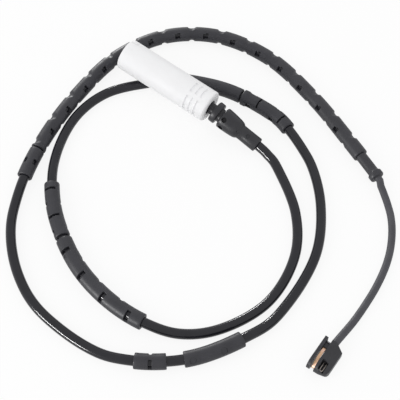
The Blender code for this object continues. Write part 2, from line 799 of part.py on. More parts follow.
def build_pin_carrier(frame):
    radius = SOCKET_RADIUS - SEAT_GAP
    start = CARRIER_REAR + SEAT_GAP
    end = CARRIER_REAR + CARRIER_LENGTH
    profile = [
        (start, 0), (start, radius), (end - EDGE_BREAK, radius), (end, radius - EDGE_BREAK), (end, 0),
    ]
    carrier = mesh_object("pin_carrier", turned(profile, CARRIER_SIDES), "plug_white", placed(frame))
    bore = PIN_DIAMETER / 2 + PIN_CLEARANCE
    holes = []
    for across in (-PIN_SPACING / 2, PIN_SPACING / 2):
        hole = rod(start - CUTTER_OVERRUN, end + CUTTER_OVERRUN, bore, PIN_SIDES)
        hole.transform(Matrix.Translation((0, across, 0)))
        holes.append(hole)
    cut(carrier, mesh_object("pin_hole_cutter", joined(holes), "plug_white", placed(frame)))


def build_contacts(frame):
    """Two turned pins, each with a crimp barrel behind the carrier and its core wire."""
    tip = PLUG_LENGTH - SOCKET_DEPTH + PIN_REACH
    radius, barrel = PIN_DIAMETER / 2, BARREL_DIAMETER / 2
    barrel_rear = CARRIER_REAR - BARREL_LENGTH
    for index, across in ((1, -PIN_SPACING / 2), (2, PIN_SPACING / 2)):
        profile = [
            (barrel_rear, 0), (barrel_rear, barrel), (CARRIER_REAR - BARREL_TAPER, barrel),
            (CARRIER_REAR, radius), *arc((tip - radius, 0), radius, 90, 0, 3),
        ]
        pin = turned(profile, PIN_SIDES)
        pin.transform(Matrix.Translation((0, across, 0)))
        mesh_object(f"contact_pin_{index}", pin, "contact_brass", placed(frame))
        near = math.copysign(CORE_DIAMETER / 2 + SEAT_GAP / 2, across)
        start = Vector((barrel_rear - SEAT_GAP, across, 0))
        stop = Vector((BOOT_NECK_INSERT + SEAT_GAP, near, 0))
        points = []
        for k in range(CORE_STEPS + 1):
            share = k / CORE_STEPS
            place = start.lerp(stop, share)
            place.y = start.y + (stop.y - start.y) * ease(share)
            points.append(frame @ place)
        cable_object(f"core_wire_{index}", points, CORE_DIAMETER / 2, 2, "core_insulation")


# Boot

def boot_matrix():
    """X runs from the plug's rear face down to where the lead leaves the boot."""
    rear = plug_rear()
    end = CABLE_PATH.on_curve(0)
    forward = (end - rear).normalized()
    side = Vector((0, 0, 1)).cross(forward).normalized()
    axes = Matrix((forward, side, forward.cross(side))).transposed().to_4x4()
    return Matrix.Translation(rear) @ axes, (end - rear).length


def build_strain_boot():
    frame, reach = boot_matrix()
    disc_end = DISC_START + DISC_LENGTH
    body_start = disc_end + GROOVE_LENGTH
    body_end = body_start + BODY_LENGTH
    neck, tail = BOOT_NECK_DIAMETER / 2, BOOT_TAIL_RADIUS
    bore = CABLE_RADIUS + BOOT_BORE_CLEARANCE
    profile = [
        (-BOOT_NECK_INSERT, 0), (-BOOT_NECK_INSERT, neck), (DISC_START, neck),
        (DISC_START, DISC_DIAMETER / 2 - EDGE_BREAK), (DISC_START + EDGE_BREAK, DISC_DIAMETER / 2),
        (disc_end - EDGE_BREAK, DISC_DIAMETER / 2), (disc_end, DISC_DIAMETER / 2 - EDGE_BREAK),
        (disc_end, GROOVE_DIAMETER / 2), (body_start, GROOVE_DIAMETER / 2),
        (body_start, BODY_DIAMETER / 2 - BODY_SHOULDER),
        (body_start + BODY_SHOULDER, BODY_DIAMETER / 2),
        (body_start + BODY_CROWN_LENGTH, BODY_CROWN_DIAMETER / 2),
        (body_end, BODY_WAIST_DIAMETER / 2), (body_end + BODY_STEP_LENGTH, tail),
        (reach - EDGE_BREAK, tail), (reach, tail - EDGE_BREAK), (reach, bore),
        (reach - BOOT_BORE_DEPTH, bore), (reach - BOOT_BORE_DEPTH, 0),
    ]
    boot = mesh_object("strain_boot", turned(profile, BOOT_SIDES), "sleeve_rubber", placed(frame))
    vents = []
    for angle in VENT_TURNS:
        peg = rod(0, VENT_DEPTH + CUTTER_OVERRUN, VENT_DIAMETER / 2, PIN_SIDES)
        peg.transform(Matrix.Rotation(math.radians(-90), 4, "Y"))
        turn = Matrix.Rotation(math.radians(angle), 4, "X")
        lift = Matrix.Translation((body_start + VENT_SETBACK, 0, BODY_DIAMETER / 2 - VENT_DEPTH))
        peg.transform(turn @ lift)
        vents.append(peg)
    cut(boot, mesh_object("vent_cutter", joined(vents), "sleeve_rubber", placed(frame)))


# Sensor head

def nose_outline(rear, front, bottom, top, radius):
    """A side view of the head: square at the cable end and rounded at the other."""
    radius = min(radius, (top - bottom) / 2)
    lower = arc((front + radius, bottom + radius), radius, -90, -180, 6)
    upper = arc((front + radius, top - radius), radius, 180, 90, 6)
    return [(rear, bottom)] + lower + upper + [(rear, top)]


def at_x(x, outline):
    return [(x, y, z) for y, z in outline]


def build_head_body():
    """Plate, block and bridge are one moulding, with the slot between plate and block."""
    side = nose_outline(HEAD_REAR_Y, HEAD_FRONT_Y, 0, HEAD_HEIGHT, HEAD_NOSE_RADIUS)
    edge = nose_outline(HEAD_REAR_Y - BLOCK_EDGE_SETBACK, HEAD_FRONT_Y + BLOCK_EDGE_SETBACK,
                        0, BLOCK_EDGE_HEIGHT, HEAD_NOSE_RADIUS)
    flat_end = BLOCK_X + BLOCK_FLAT
    slope_end = flat_end + BLOCK_SLOPE_WIDTH
    block = lofted([at_x(BLOCK_X, side), at_x(flat_end, side), at_x(slope_end, edge)])
    head = mesh_object("head_body", block, "head_plastic")
    plate_shape = lofted([at_x(HEAD_X, side), at_x(HEAD_X + PLATE_THICKNESS, side)])
    plate = mesh_object("head_plate", plate_shape, "head_plastic")
    rear, front = HEAD_REAR_Y - BRIDGE_SETBACK, HEAD_REAR_Y - BRIDGE_LENGTH
    outline = [(rear, 0), (front, 0), (front, BRIDGE_HEIGHT), (rear, BRIDGE_HEIGHT)]
    bridge_shape = lofted([
        at_x(HEAD_X + PLATE_THICKNESS - BRIDGE_ROOT, outline), at_x(BLOCK_X + BRIDGE_ROOT, outline),
    ])
    bridge = mesh_object("head_bridge", bridge_shape, "head_plastic")
    for piece in (bridge, plate):
        piece.hide_render = True
        piece.display_type = "WIRE"
        modifier = head.modifiers.new("join_" + piece.name, "BOOLEAN")
        modifier.operation = "UNION"
        modifier.solver = "EXACT"
        modifier.object = piece
    cut(head, mesh_object("pocket_cutter", pocket_shape(), "head_plastic"))
    cut(head, mesh_object("channel_cutter", loop_channels(), "head_plastic"))


def pocket_box():
    """The pocket that shows the loop: near corner, far corner."""
    x = BLOCK_X + POCKET_INSET
    front = HEAD_FRONT_Y + POCKET_NOSE_WALL
    top = HEAD_HEIGHT + CUTTER_OVERRUN
    return (x, front, POCKET_FLOOR), (x + POCKET_WIDTH, front + POCKET_LENGTH, top)


def pocket_shape():
    (x0, y0, z0), (x1, y1, z1) = pocket_box()
    return lofted([[(x0, y0, z), (x1, y0, z), (x1, y1, z), (x0, y1, z)] for z in (z0, z1)])


def loop_legs():
    """Where the loop's two legs run: their x values and their height."""
    near, far = pocket_box()
    inset = LOOP_WIRE_DIAMETER / 2 + LOOP_CHANNEL_CLEARANCE
    return (near[0] + inset, far[0] - inset), near[2] + inset


def loop_channels():
    """Two bores from the pocket back to where the cable comes in."""
    legs, height = loop_legs()
    pocket_rear = pocket_box()[1][1]
    radius = LOOP_WIRE_DIAMETER / 2 + LOOP_CHANNEL_CLEARANCE
    aim = Matrix.Rotation(math.pi / 2, 4, "Z")
    bores = []
    for x in legs:
        bore = rod(-CUTTER_OVERRUN, HEAD_LENGTH, radius, PIN_SIDES)
        bore.transform(Matrix.Translation((x, pocket_rear, height)) @ aim)
        bores.append(bore)
    return joined(bores)


def build_wear_loop():
    """The sensing wire: out through one bore, round in the pocket and back through the other."""
    legs, height = loop_legs()
    pocket_front = pocket_box()[0][1]
    middle = (legs[0] + legs[1]) / 2
    radius = (legs[1] - legs[0]) / 2
    bend_y = pocket_front + LOOP_WIRE_DIAMETER / 2 + LOOP_CHANNEL_CLEARANCE + radius
    rear = HEAD_REAR_Y - LOOP_END_SETBACK
    flat = [(legs[0], rear)] + arc((middle, bend_y), radius, 180, 360, 8) + [(legs[1], rear)]
    points = [Vector((x, y, height)) for x, y in flat]
    cable_object("wear_loop", points, LOOP_WIRE_DIAMETER / 2, 2, "loop_copper")


def build_spring_leaf():
    """A bowed strip that springs from the bridge along the slot, with its nose turned down."""
    x0 = HEAD_X + PLATE_THICKNESS + SEAT_GAP
    x1 = BLOCK_X - SEAT_GAP
    seat = BRIDGE_HEIGHT + SEAT_GAP
    upper, lower = [], []
    rear = HEAD_REAR_Y - BRIDGE_LENGTH + LEAF_SEAT_LENGTH
    for k in range(LEAF_STEPS + 1):
        share = k / LEAF_STEPS
        y = rear - LEAF_LENGTH * share
        z = seat + LEAF_BOW * math.sin(math.pi * share) - LEAF_NOSE_DROP * share ** 4
        lower.append((y, z))
        upper.append((y, z + LEAF_THICKNESS))
    outline = lower + list(reversed(upper))
    mesh_object("spring_leaf", lofted([at_x(x0, outline), at_x(x1, outline)]), "spring_bronze")


def build_retaining_pin():
    """The cross pin that lies on the bridge behind the leaf."""
    radius = RETAINING_PIN_DIAMETER / 2
    pin = rod(HEAD_X + PLATE_THICKNESS + SEAT_GAP, BLOCK_X - SEAT_GAP, radius, PIN_SIDES)
    height = BRIDGE_HEIGHT + SEAT_GAP + radius
    pin.transform(Matrix.Translation((0, HEAD_REAR_Y - RETAINING_PIN_SETBACK, height)))
    mesh_object("retaining_pin", pin, "pin_steel")


# The whole part

def build_lead():
    frame, reach = boot_matrix()
    inside = frame @ Vector((reach - BOOT_BORE_DEPTH + CABLE_START_GAP, 0, 0))
    points = [inside] + CABLE_CHAIN.points
    cable_object("main_cable", points, CABLE_RADIUS, 2, "cable_black")
    start = max(COLLAR_END - CABLE_PATH.total, 0) + 2 * TAIL_DIAMETER
    stations = TAIL_PATH.stations(start, TAIL_PATH.total)
    points = [past_end(COLLAR_END + SEAT_GAP), past_end(COLLAR_END + TAIL_RADIUS)]
    points += [TAIL_PATH.on_curve(s) for s in stations]
    cable_object("tail_cable", points, TAIL_RADIUS, 2, "tail_grey")


def main():
    clear_scene()
    build_lead()
    build_lower_left_sleeve()
    build_upper_left_sleeve()
    build_upper_sleeves()
    build_lower_right_sleeve()
    build_clip_sleeve()
    build_outer_left_sleeve()
    build_long_sleeve()
    build_transition_collar()
    frame = plug_matrix()
    build_plug_housing(frame)
    build_pin_carrier(frame)
    build_contacts(frame)
    build_strain_boot()
    build_head_body()
    build_wear_loop()
    build_spring_leaf()
    build_retaining_pin()


main()
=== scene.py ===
"""Brake pad wear sensor on a white studio floor.

Lengths are in millimetres and become metres where a mesh is made.
"""

import math

import bmesh
import bpy
from mathutils import Matrix, Vector


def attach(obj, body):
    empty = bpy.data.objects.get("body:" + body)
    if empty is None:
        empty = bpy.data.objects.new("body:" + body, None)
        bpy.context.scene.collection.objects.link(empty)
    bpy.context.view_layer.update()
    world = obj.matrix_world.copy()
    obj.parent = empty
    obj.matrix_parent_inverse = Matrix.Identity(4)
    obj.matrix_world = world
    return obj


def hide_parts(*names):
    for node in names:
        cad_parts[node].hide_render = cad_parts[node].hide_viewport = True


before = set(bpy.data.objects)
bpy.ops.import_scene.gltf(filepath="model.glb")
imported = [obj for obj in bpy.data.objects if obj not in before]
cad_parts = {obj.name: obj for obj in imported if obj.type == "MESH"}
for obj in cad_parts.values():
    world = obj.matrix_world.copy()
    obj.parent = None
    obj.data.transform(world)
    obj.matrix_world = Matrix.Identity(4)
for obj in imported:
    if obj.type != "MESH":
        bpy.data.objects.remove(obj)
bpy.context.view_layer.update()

MM = 0.001
SHARP_ANGLE = 40.0

# Lead
CABLE_RADIUS = 2.5
TAIL_RADIUS = 1.85
ROUTE_SUBSTEPS = 40
LEVEL_OVERRUN = 1.5
RISE_LENGTH = 16.0
TAIL_RISE_LENGTH = 19.0
BOOT_END_HEIGHT = 3.9
HEAD_ENTRY_HEIGHT = 4.2
TANGENT_REACH = 0.6
CABLE_START_GAP = 0.9
CABLE_LINE_STEP = 2.0
TAIL_LINE_START = 5.5
TAIL_LINE_STEP = 1.5
CABLE_SIDES_RESOLUTION = 14

ROUTE = [
    (2.0, 39.8), (8.7, 38.4), (17.5, 34.8), (38.7, 18.4), (51.9, -3.5), (54.1, -31.0),
    (42.2, -56.2), (23.4, -70.0), (-2.4, -73.3), (-30.3, -67.3), (-56.3, -51.8),
    (-73.9, -32.5), (-82.6, -14.2), (-85.5, 4.5), (-81.2, 22.6), (-69.0, 38.2),
    (-56.1, 48.9), (-30.3, 58.9), (-3.5, 60.3), (12.3, 55.8),
    (30.6, 46.1), (47.5, 28.0), (59.5, 3.9), (62.3, -25.3), (57.7, -47.6),
    (39.0, -76.7), (9.2, -95.2), (-26.5, -96.3), (-51.3, -86.9), (-71.8, -67.9),
    (-83.6, -42.8), (-90.4, -15.3), (-92.8, 12.9), (-90.8, 42.2), (-78.2, 68.7),
    (-54.5, 85.7), (-23.3, 89.5), (9.9, 80.9), (38.5, 69.0), (61.4, 58.6),
]
TAIL_ROUTE = [
    (61.4, 58.6), (73.4, 49.0), (80.4, 41.1), (86.1, 30.9), (89.8, 20.2),
    (91.9, 8.0), (92.6, -3.9), (92.5, -16.1), (91.5, -30.8),
]

# Sleeves; a start is a length along the lead from the boot, FIRST is a length from the sleeve's start,
# and turns and widths are angles round the lead in degrees
SLEEVE_RADIUS = 3.85
WIDE_RADIUS = 4.05
BORE_RADIUS = 2.62
SLEEVE_CHAMFER = 0.4
SLEEVE_BEVEL = 0.16
SLEEVE_SIDES = 48
RING_STEP = 1.2
SCOOP_STEPS = 8
LOWER_LEFT_START = 160.0
LOWER_LEFT_END = 219.8
LOWER_LEFT_FIRST = 7.3
LOWER_LEFT_PITCH = 15.1
LOWER_LEFT_TURN = -48.0
LOWER_LEFT_DIMPLE = 50.5
UPPER_LEFT_START = 221.6
UPPER_LEFT_END = 252.6
UPPER_LEFT_FIRST = 11.2
UPPER_LEFT_PITCH = 15.6
UPPER_LEFT_TURN = -21.0
PLAIN_START = 358.4
PLAIN_END = 391.3
UPPER_MID_START = 392.3
UPPER_MID_END = 422.9
UPPER_MID_FIRST = 10.0
UPPER_MID_PITCH = 15.1
UPPER_MID_TURN = 10.0
RING_LENGTH = 2.8
RING_PROUD = 0.35
RING_EDGE = 0.8
LOWER_RIGHT_START = 557.3
LOWER_RIGHT_END = 586.2
DIMPLE_FIRST = 10.5
DIMPLE_PITCH = 14.6
DIMPLE_TURN = -45.0
DIMPLE_RADIUS = 1.7
DIMPLE_DEPTH = 0.45
CLIP_START = 594.3
CLIP_END = 609.2
CLIP_TURN = -50.0
OUTER_LEFT_START = 739.9
OUTER_LEFT_END = 756.2
LONG_START = 757.2
LONG_END = 993.0
LONG_FIRST = 3.0
LONG_PITCH = 15.85
LONG_WINDOWS = 14
WINDOW_LENGTH = 3.0
WINDOW_WIDTH = 45.0
WINDOW_TURN = 48.0
WINDOW_TURN_GAIN = 10.0
SCOOP_TURN = -62.0
COLLAR_START = 1004.8
COLLAR_END = 1008.0
NECK_RADIUS = 2.85
COLLAR_RADIUS = 3.7
COLLAR_WAIST = 3.15
COLLAR_EAR = 2.6

# Plug and boot
PLUG_REAR = Vector((-28.4, 41.2, 11.106))
PLUG_SLOPE = 5.0
PLUG_RADIUS = 8.4
PLUG_LENGTH = 53.6
SOCKET_RADIUS = 6.9
SOCKET_DEPTH = 23.0
CUT_OVERRUN = 1.0
SHELL_INSIDE = 6.2
SHELL_END = 3.0
ENTRY_RADIUS = 3.9
CARRIER_LENGTH = 5.0
CARRIER_REAR = PLUG_LENGTH - SOCKET_DEPTH - CARRIER_LENGTH
CARRIER_GAP = 0.3
CARRIER_CHAMFER = 0.4
PIN_SPACING = 5.4
PIN_RADIUS = 1.0
PIN_CLEARANCE = 0.3
PIN_REACH = 13.0
PIN_TIP = PLUG_LENGTH - SOCKET_DEPTH + PIN_REACH
BARREL_LENGTH = 6.0
BARREL_RADIUS = 1.3
BARREL_TAPER = 0.6
GROOVE_FIRST = 4.2
GROOVE_PITCH = 3.1
GROOVE_LENGTH = 1.4
GROOVE_DEPTH = 0.7
# Turn and width of each grip, then the turns of the two keyways
GRIPS = ((22.0, 66.0), (94.0, 46.0), (202.0, 66.0), (274.0, 46.0))
KEY_TURNS = (120.0, -60.0)
KEY_LENGTH = 5.0
KEY_DEPTH = 1.0
KEY_WIDTH = 20.5
# The boot's outline as (distance behind the plug's rear, radius)
BOOT_PROFILE = [
    (-4.0, 0), (-4.0, 3.0), (2.4, 3.0), (2.65, 3.1), (2.8, 3.3),
    (2.8, 5.2), (2.95, 5.5), (3.3, 5.7), (5.7, 5.7), (6.05, 5.5), (6.2, 5.2),
    (6.2, 3.9), (6.35, 3.75), (6.6, 3.7), (7.6, 3.7), (7.85, 3.75), (8.0, 3.9),
    (8.0, 5.0), (8.2, 5.4), (8.7, 5.7), (10.0, 5.7), (12.0, 5.6), (14.5, 5.4), (17.0, 5.1),
    (18.6, 4.8), (19.3, 4.5), (19.8, 4.1), (20.3, 3.85), (24.0, 3.85),
]
# The outline's last points, measured back from the boot's end
BOOT_END_PROFILE = [(0.6, 3.9), (0.15, 3.75), (0, 3.5), (0, 3.1), (1.8, 3.1), (1.8, 0)]
# Distance, turn, height of the bottom and radius of each round hollow
BOOT_HOLLOWS = [
    (10.4, 35.0, 3.3, 1.4), (10.8, 92.0, 3.6, 1.4), (19.2, 38.0, 4.3, 0.7), (25.0, 22.0, 3.3, 1.1),
]
HOLLOW_PEG = 6.0

# Head
HEAD_X = 86.4
HEAD_REAR_Y = -31.1
HEAD_FRONT_Y = -47.6
HEAD_HEIGHT = 8.0
PLATE_THICKNESS = 1.6
BLOCK_X = 90.2
FLAT_END_X = BLOCK_X + 2.3
BLOCK_END_X = FLAT_END_X + 4.3
NOSE_RADIUS = 3.9
EDGE_SETBACK = 1.6
EDGE_HEIGHT = 4.0
OVERLAP = 0.5
BRIDGE_REAR_Y = HEAD_REAR_Y - 0.4
BRIDGE_FRONT_Y = HEAD_REAR_Y - 4.2
BRIDGE_HEIGHT = 4.6
CAP_REAR_Y = HEAD_REAR_Y - 2.4
CAP_FRONT_Y = BRIDGE_FRONT_Y - 0.5
CAP_BOTTOM = 4.4
CAP_TOP = 6.8
CORNER_RADIUS = 4.4
CORNER_X = BLOCK_X + 2.2
POCKET_X = (BLOCK_X + 1.4, BLOCK_X + 1.4 + 3.0)
POCKET_Y = (HEAD_FRONT_Y + 1.0, HEAD_FRONT_Y + 1.0 + 5.2)
POCKET_FLOOR = 3.2
LOOP_BORE = 0.75
LOOP_BORE_LENGTH = 16.5
LOOP_WIRE_RADIUS = 0.45
LOOP_REAR_Y = HEAD_REAR_Y - 0.7
SLOT_GAP = 0.3
LEAF_REAR_Y = BRIDGE_FRONT_Y + 2.2
LEAF_LENGTH = 13.0
LEAF_THICKNESS = 0.4
LEAF_STEPS = 24
LEAF_HEIGHT = 4.9
LEAF_ARCH = 1.6
LEAF_DROP = 2.4
CROSS_PIN_RADIUS = 0.4
CROSS_PIN_CHAMFER = 0.1
CROSS_PIN_PLACE = (0, HEAD_REAR_Y - 1.2, 5.3)

# Camera
CAMERA_PLACE = (157.4, -233.4, 490.2)
CAMERA_AIM = (-4.9, -1.6, 0.0)
CAMERA_ANGLE = 20.04

# Studio, in metres
FLOOR_REACH = 0.3
FLOOR_COLOUR = (0.96, 0.96, 0.96, 1.0)
FLOOR_ROUGHNESS = 0.9
FLOOR_GLOW_SHARE = 0.87
WHITE = (1.0, 1.0, 1.0, 1.0)
WORLD_STRENGTH = 0.85


# Node materials

class Nodes:
    """Small helper that builds one node material from the shader outwards."""

    def __init__(self, name):
        self.material = bpy.data.materials.new(name)
        self.material.use_nodes = True
        self.tree = self.material.node_tree
        self.shader = self.tree.nodes["Principled BSDF"]
        self.place = self.tree.nodes.new("ShaderNodeTexCoord").outputs["Object"]

    def add(self, kind, **settings):
        node = self.tree.nodes.new(kind)
        for key, value in settings.items():
            setattr(node, key, value)
        return node

    def link(self, source, target):
        self.tree.links.new(source, target)

    def noise(self, scale, detail):
        node = self.add("ShaderNodeTexNoise")
        node.inputs["Scale"].default_value = scale
        node.inputs["Detail"].default_value = detail
        node.inputs["Roughness"].default_value = 0.55
        self.link(self.place, node.inputs["Vector"])
        return node.outputs["Fac"]

    def span(self, source, low, high, to_low, to_high):
        """Map a range of one value to a range of another."""
        node = self.add("ShaderNodeMapRange")
        node.inputs["From Min"].default_value = low
        node.inputs["From Max"].default_value = high
        node.inputs["To Min"].default_value = to_low
        node.inputs["To Max"].default_value = to_high
        self.link(source, node.inputs["Value"])
        return node.outputs["Result"]

    def mix(self, share, colour_a, colour_b):
        node = self.add("ShaderNodeMix", data_type="RGBA")
        node.inputs["A"].default_value = (*colour_a, 1.0)
        node.inputs["B"].default_value = (*colour_b, 1.0)
        self.link(share, node.inputs["Factor"])
        return next(o for o in node.outputs if o.type == "RGBA")

    def bump(self, height, distance):
        node = self.add("ShaderNodeBump")
        node.inputs["Strength"].default_value = 1.0
        node.inputs["Distance"].default_value = distance
        self.link(height, node.inputs["Height"])
        return node.outputs["Normal"]


def surface(name, dark, light, rough_low, rough_high, grain, grain_depth, metallic=0.0, blotch=120.0,
            specular=0.5):
    """A moulded or metal surface: slow colour drift, uneven gloss and a fine grain.

    blotch and grain are noise scales per metre, and grain_depth is in metres.
    """
    made = Nodes(name)
    drift = made.noise(blotch, 4.0)
    share = made.span(drift, 0.35, 0.65, 0.0, 1.0)
    made.link(made.mix(share, dark, light), made.shader.inputs["Base Color"])
    gloss = made.noise(grain * 0.4, 3.0)
    made.link(made.span(gloss, 0.3, 0.7, rough_low, rough_high), made.shader.inputs["Roughness"])
    fine = made.noise(grain, 2.0)
    made.link(made.bump(fine, grain_depth), made.shader.inputs["Normal"])
    made.shader.inputs["Metallic"].default_value = metallic
    made.shader.inputs["Specular IOR Level"].default_value = specular
    return made.material


CABLE = surface("cable_black", (0.012, 0.012, 0.016), (0.016, 0.016, 0.021), 0.13, 0.17, 500.0, 0.0000005,
                specular=0.32)
SLEEVE = surface("sleeve_rubber", (0.037, 0.037, 0.043), (0.046, 0.046, 0.053), 0.4, 0.52, 1400.0, 0.00003,
                 specular=0.25)
TAIL = surface("tail_grey", (0.066, 0.066, 0.075), (0.082, 0.082, 0.092), 0.46, 0.58, 1200.0, 0.00002,
               specular=0.25)
BOOT = surface("boot_rubber", (0.03, 0.03, 0.034), (0.038, 0.038, 0.043), 0.3, 0.42, 1200.0, 0.00003,
               specular=0.25)
PLUG = surface("plug_white", (0.91, 0.91, 0.92), (0.94, 0.94, 0.95), 0.5, 0.6, 1500.0, 0.00001,
               blotch=60.0, specular=0.2)
CARRIER = surface("carrier_white", (0.76, 0.76, 0.77), (0.8, 0.8, 0.81), 0.42, 0.5, 1500.0, 0.00001)
HEAD = surface("head_plastic", (0.028, 0.028, 0.032), (0.036, 0.036, 0.041), 0.36, 0.48, 1800.0, 0.00003,
               specular=0.3)
BRASS = surface("contact_brass", (0.7, 0.5, 0.2), (0.78, 0.58, 0.28), 0.22, 0.34, 2600.0, 0.000005, 1.0)
COPPER = surface("loop_copper", (0.3, 0.27, 0.25), (0.4, 0.36, 0.33), 0.26, 0.4, 2600.0, 0.000005, 1.0)
BRONZE = surface("spring_bronze", (0.52, 0.34, 0.2), (0.68, 0.44, 0.34), 0.24, 0.4, 2200.0, 0.000006,
                 1.0, blotch=420.0)
STEEL = surface("pin_steel", (0.12, 0.12, 0.13), (0.22, 0.22, 0.24), 0.18, 0.3, 2600.0, 0.000004, 1.0)


# Mesh helpers

def mesh_object(name, bm, matrix=None):
    """Put a mesh that is written in millimetres into the scene."""
    bmesh.ops.recalc_face_normals(bm, faces=bm.faces)
    if matrix:
        bm.transform(matrix)
    bm.transform(Matrix.Scale(MM, 4))
    mesh = bpy.data.meshes.new(name)
    bm.to_mesh(mesh)
    bm.free()
    obj = bpy.data.objects.new(name, mesh)
    bpy.context.scene.collection.objects.link(obj)
    return obj


def piece(name, bm, look, matrix=None, bevel=0.0, smooth_angle=SHARP_ANGLE, segments=2):
    """Finish a mesh that is written in millimetres and make it ride on the part."""
    obj = mesh_object(name, bm, matrix)
    obj.data.shade_smooth()
    obj.data.set_sharp_from_angle(angle=math.radians(smooth_angle))
    obj.data.materials.append(look)
    if bevel:
        edges = obj.modifiers.new("soft_edges", "BEVEL")
        edges.width = bevel * MM
        edges.segments = segments
        edges.limit_method = "ANGLE"
        edges.angle_limit = math.radians(smooth_angle)
    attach(obj, "root")
    return obj


def boolean(target, tool, operation="DIFFERENCE"):
    """Apply one Boolean ahead of the target's soft edges and drop the tool."""
    modifier = target.modifiers.new("shape", "BOOLEAN")
    modifier.operation = operation
    modifier.solver = "EXACT"
    modifier.object = tool
    bpy.context.view_layer.update()
    others = [m for m in target.modifiers if m.name != modifier.name]
    shown = [m.show_viewport for m in others]
    for other in others:
        other.show_viewport = False
    bpy.context.view_layer.update()
    graph = bpy.context.evaluated_depsgraph_get()
    made = bpy.data.meshes.new_from_object(target.evaluated_get(graph))
    for other, was in zip(others, shown):
        other.show_viewport = was
    target.modifiers.remove(modifier)
    target.data = made
    bpy.data.objects.remove(tool, do_unlink=True)
    made.set_sharp_from_angle(angle=math.radians(SHARP_ANGLE))


def turned(profile, sides, closed=False):
    """A solid of revolution about X from (x, radius) points."""
    bm = bmesh.new()
    rings = []
    for x, radius in profile:
        if radius == 0:
            rings.append([bm.verts.new((x, 0, 0))])
            continue
        ring = []
        for k in range(sides):
            angle = math.tau * k / sides
            ring.append(bm.verts.new((x, radius * math.cos(angle), radius * math.sin(angle))))
        rings.append(ring)
    pairs = list(zip(rings, rings[1:]))
    if closed:
        pairs.append((rings[-1], rings[0]))
    for ring_a, ring_b in pairs:
        for k in range(sides):
            n = (k + 1) % sides
            if len(ring_a) == 1:
                bm.faces.new((ring_a[0], ring_b[k], ring_b[n]))
            elif len(ring_b) == 1:
                bm.faces.new((ring_a[k], ring_b[0], ring_a[n]))
            else:
                bm.faces.new((ring_a[k], ring_b[k], ring_b[n], ring_a[n]))
    return bm


def rod(start, end, radius, sides):
    """A plain round bar along X."""
    return turned([(start, 0), (start, radius), (end, radius), (end, 0)], sides)


def lofted(sections):
    """Join closed sections with as many points each, and cap both ends."""
    bm = bmesh.new()
    loops = [[bm.verts.new(point) for point in section] for section in sections]
    for loop_a, loop_b in zip(loops, loops[1:]):
        for k in range(len(loop_a)):
            n = (k + 1) % len(loop_a)
            bm.faces.new((loop_a[k], loop_a[n], loop_b[n], loop_b[k]))
    bm.faces.new(list(reversed(loops[0])))
    bm.faces.new(loops[-1])
    return bm


def joined(parts):
    """Put several separate meshes into one."""
    bm = bmesh.new()
    for part in parts:
        mesh = bpy.data.meshes.new("part")
        part.to_mesh(mesh)
        part.free()
        bm.from_mesh(mesh)
        bpy.data.meshes.remove(mesh)
    return bm


def arc(centre, radius, start, end, steps):
    """Points round a centre from one angle in degrees to another."""
    points = []
    for k in range(steps + 1):
        angle = math.radians(start + (end - start) * k / steps)
        points.append((centre[0] + radius * math.cos(angle), centre[1] + radius * math.sin(angle)))
    return points


# The lead's route

def ease(share):
    """Go smoothly from 0 to 1 while share does, and stay level outside that range."""
    share = min(max(share, 0.0), 1.0)
    return share * share * (3 - 2 * share)


def smooth_line(points):
    """A Catmull-Rom curve through the points."""
    line = [Vector(p) for p in points]
    line = [2 * line[0] - line[1]] + line + [2 * line[-1] - line[-2]]
    result = []
    for a, b, c, d in zip(line, line[1:], line[2:], line[3:]):
        for k in range(ROUTE_SUBSTEPS):
            t = k / ROUTE_SUBSTEPS
            bend = (2 * a - 5 * b + 4 * c - d) * t + (3 * b - a - 3 * c + d) * t * t
            result.append(0.5 * (2 * b + (c - a) * t + bend * t))
    result.append(line[-2])
    return result


class Path:
    """A flat smooth curve that is read by its length, with a height rule of its own."""

    def __init__(self, points, height):
        self.line = smooth_line(points)
        self.lengths = [0.0]
        for a, b in zip(self.line, self.line[1:]):
            self.lengths.append(self.lengths[-1] + (b - a).length)
        self.total = self.lengths[-1]
        self.height = height

    def on_curve(self, station):
        """The place at a length along the curve, straight on past its end."""
        over = station - self.total
        station = min(max(station, 0.0), self.total)
        low, high = 0, len(self.lengths) - 1
        while high - low > 1:
            middle = (low + high) // 2
            if self.lengths[middle] <= station:
                low = middle
            else:
                high = middle
        share = (station - self.lengths[low]) / (self.lengths[high] - self.lengths[low])
        flat = self.line[low].lerp(self.line[high], share)
        place = Vector((flat.x, flat.y, self.height(station)))
        if over > 0:
            last = (self.line[-1] - self.line[-9]).normalized()
            place += Vector((last.x, last.y, 0)) * over
        return place

    def tangent(self, station):
        ahead = min(station + TANGENT_REACH, self.total)
        behind = max(min(station, self.total) - TANGENT_REACH, 0.0)
        return (self.on_curve(ahead) - self.on_curve(behind)).normalized()

    def points(self, start, end, step):
        count = max(2, round((end - start) / step))
        return [self.on_curve(start + (end - start) * k / count) for k in range(count + 1)]


# Where the lead runs level at a sleeve's own height: start, end and that height
LEVEL_SPANS = [
    (LOWER_LEFT_START, UPPER_LEFT_END, WIDE_RADIUS),
    (PLAIN_START, UPPER_MID_END, SLEEVE_RADIUS + RING_PROUD),
    (LOWER_RIGHT_START, CLIP_END, SLEEVE_RADIUS),
    (OUTER_LEFT_START, COLLAR_END, SLEEVE_RADIUS),
]


def cable_height(station):
    """Bare cable rests on the floor, and rises to leave the boot and to pass through sleeves."""
    lift = (BOOT_END_HEIGHT - CABLE_RADIUS) * (1 - ease(station / RISE_LENGTH))
    for start, end, radius in LEVEL_SPANS:
        away = max(start - station, station - end) - LEVEL_OVERRUN
        lift = max(lift, (radius - CABLE_RADIUS) * (1 - ease(away / RISE_LENGTH)))
    return CABLE_RADIUS + lift


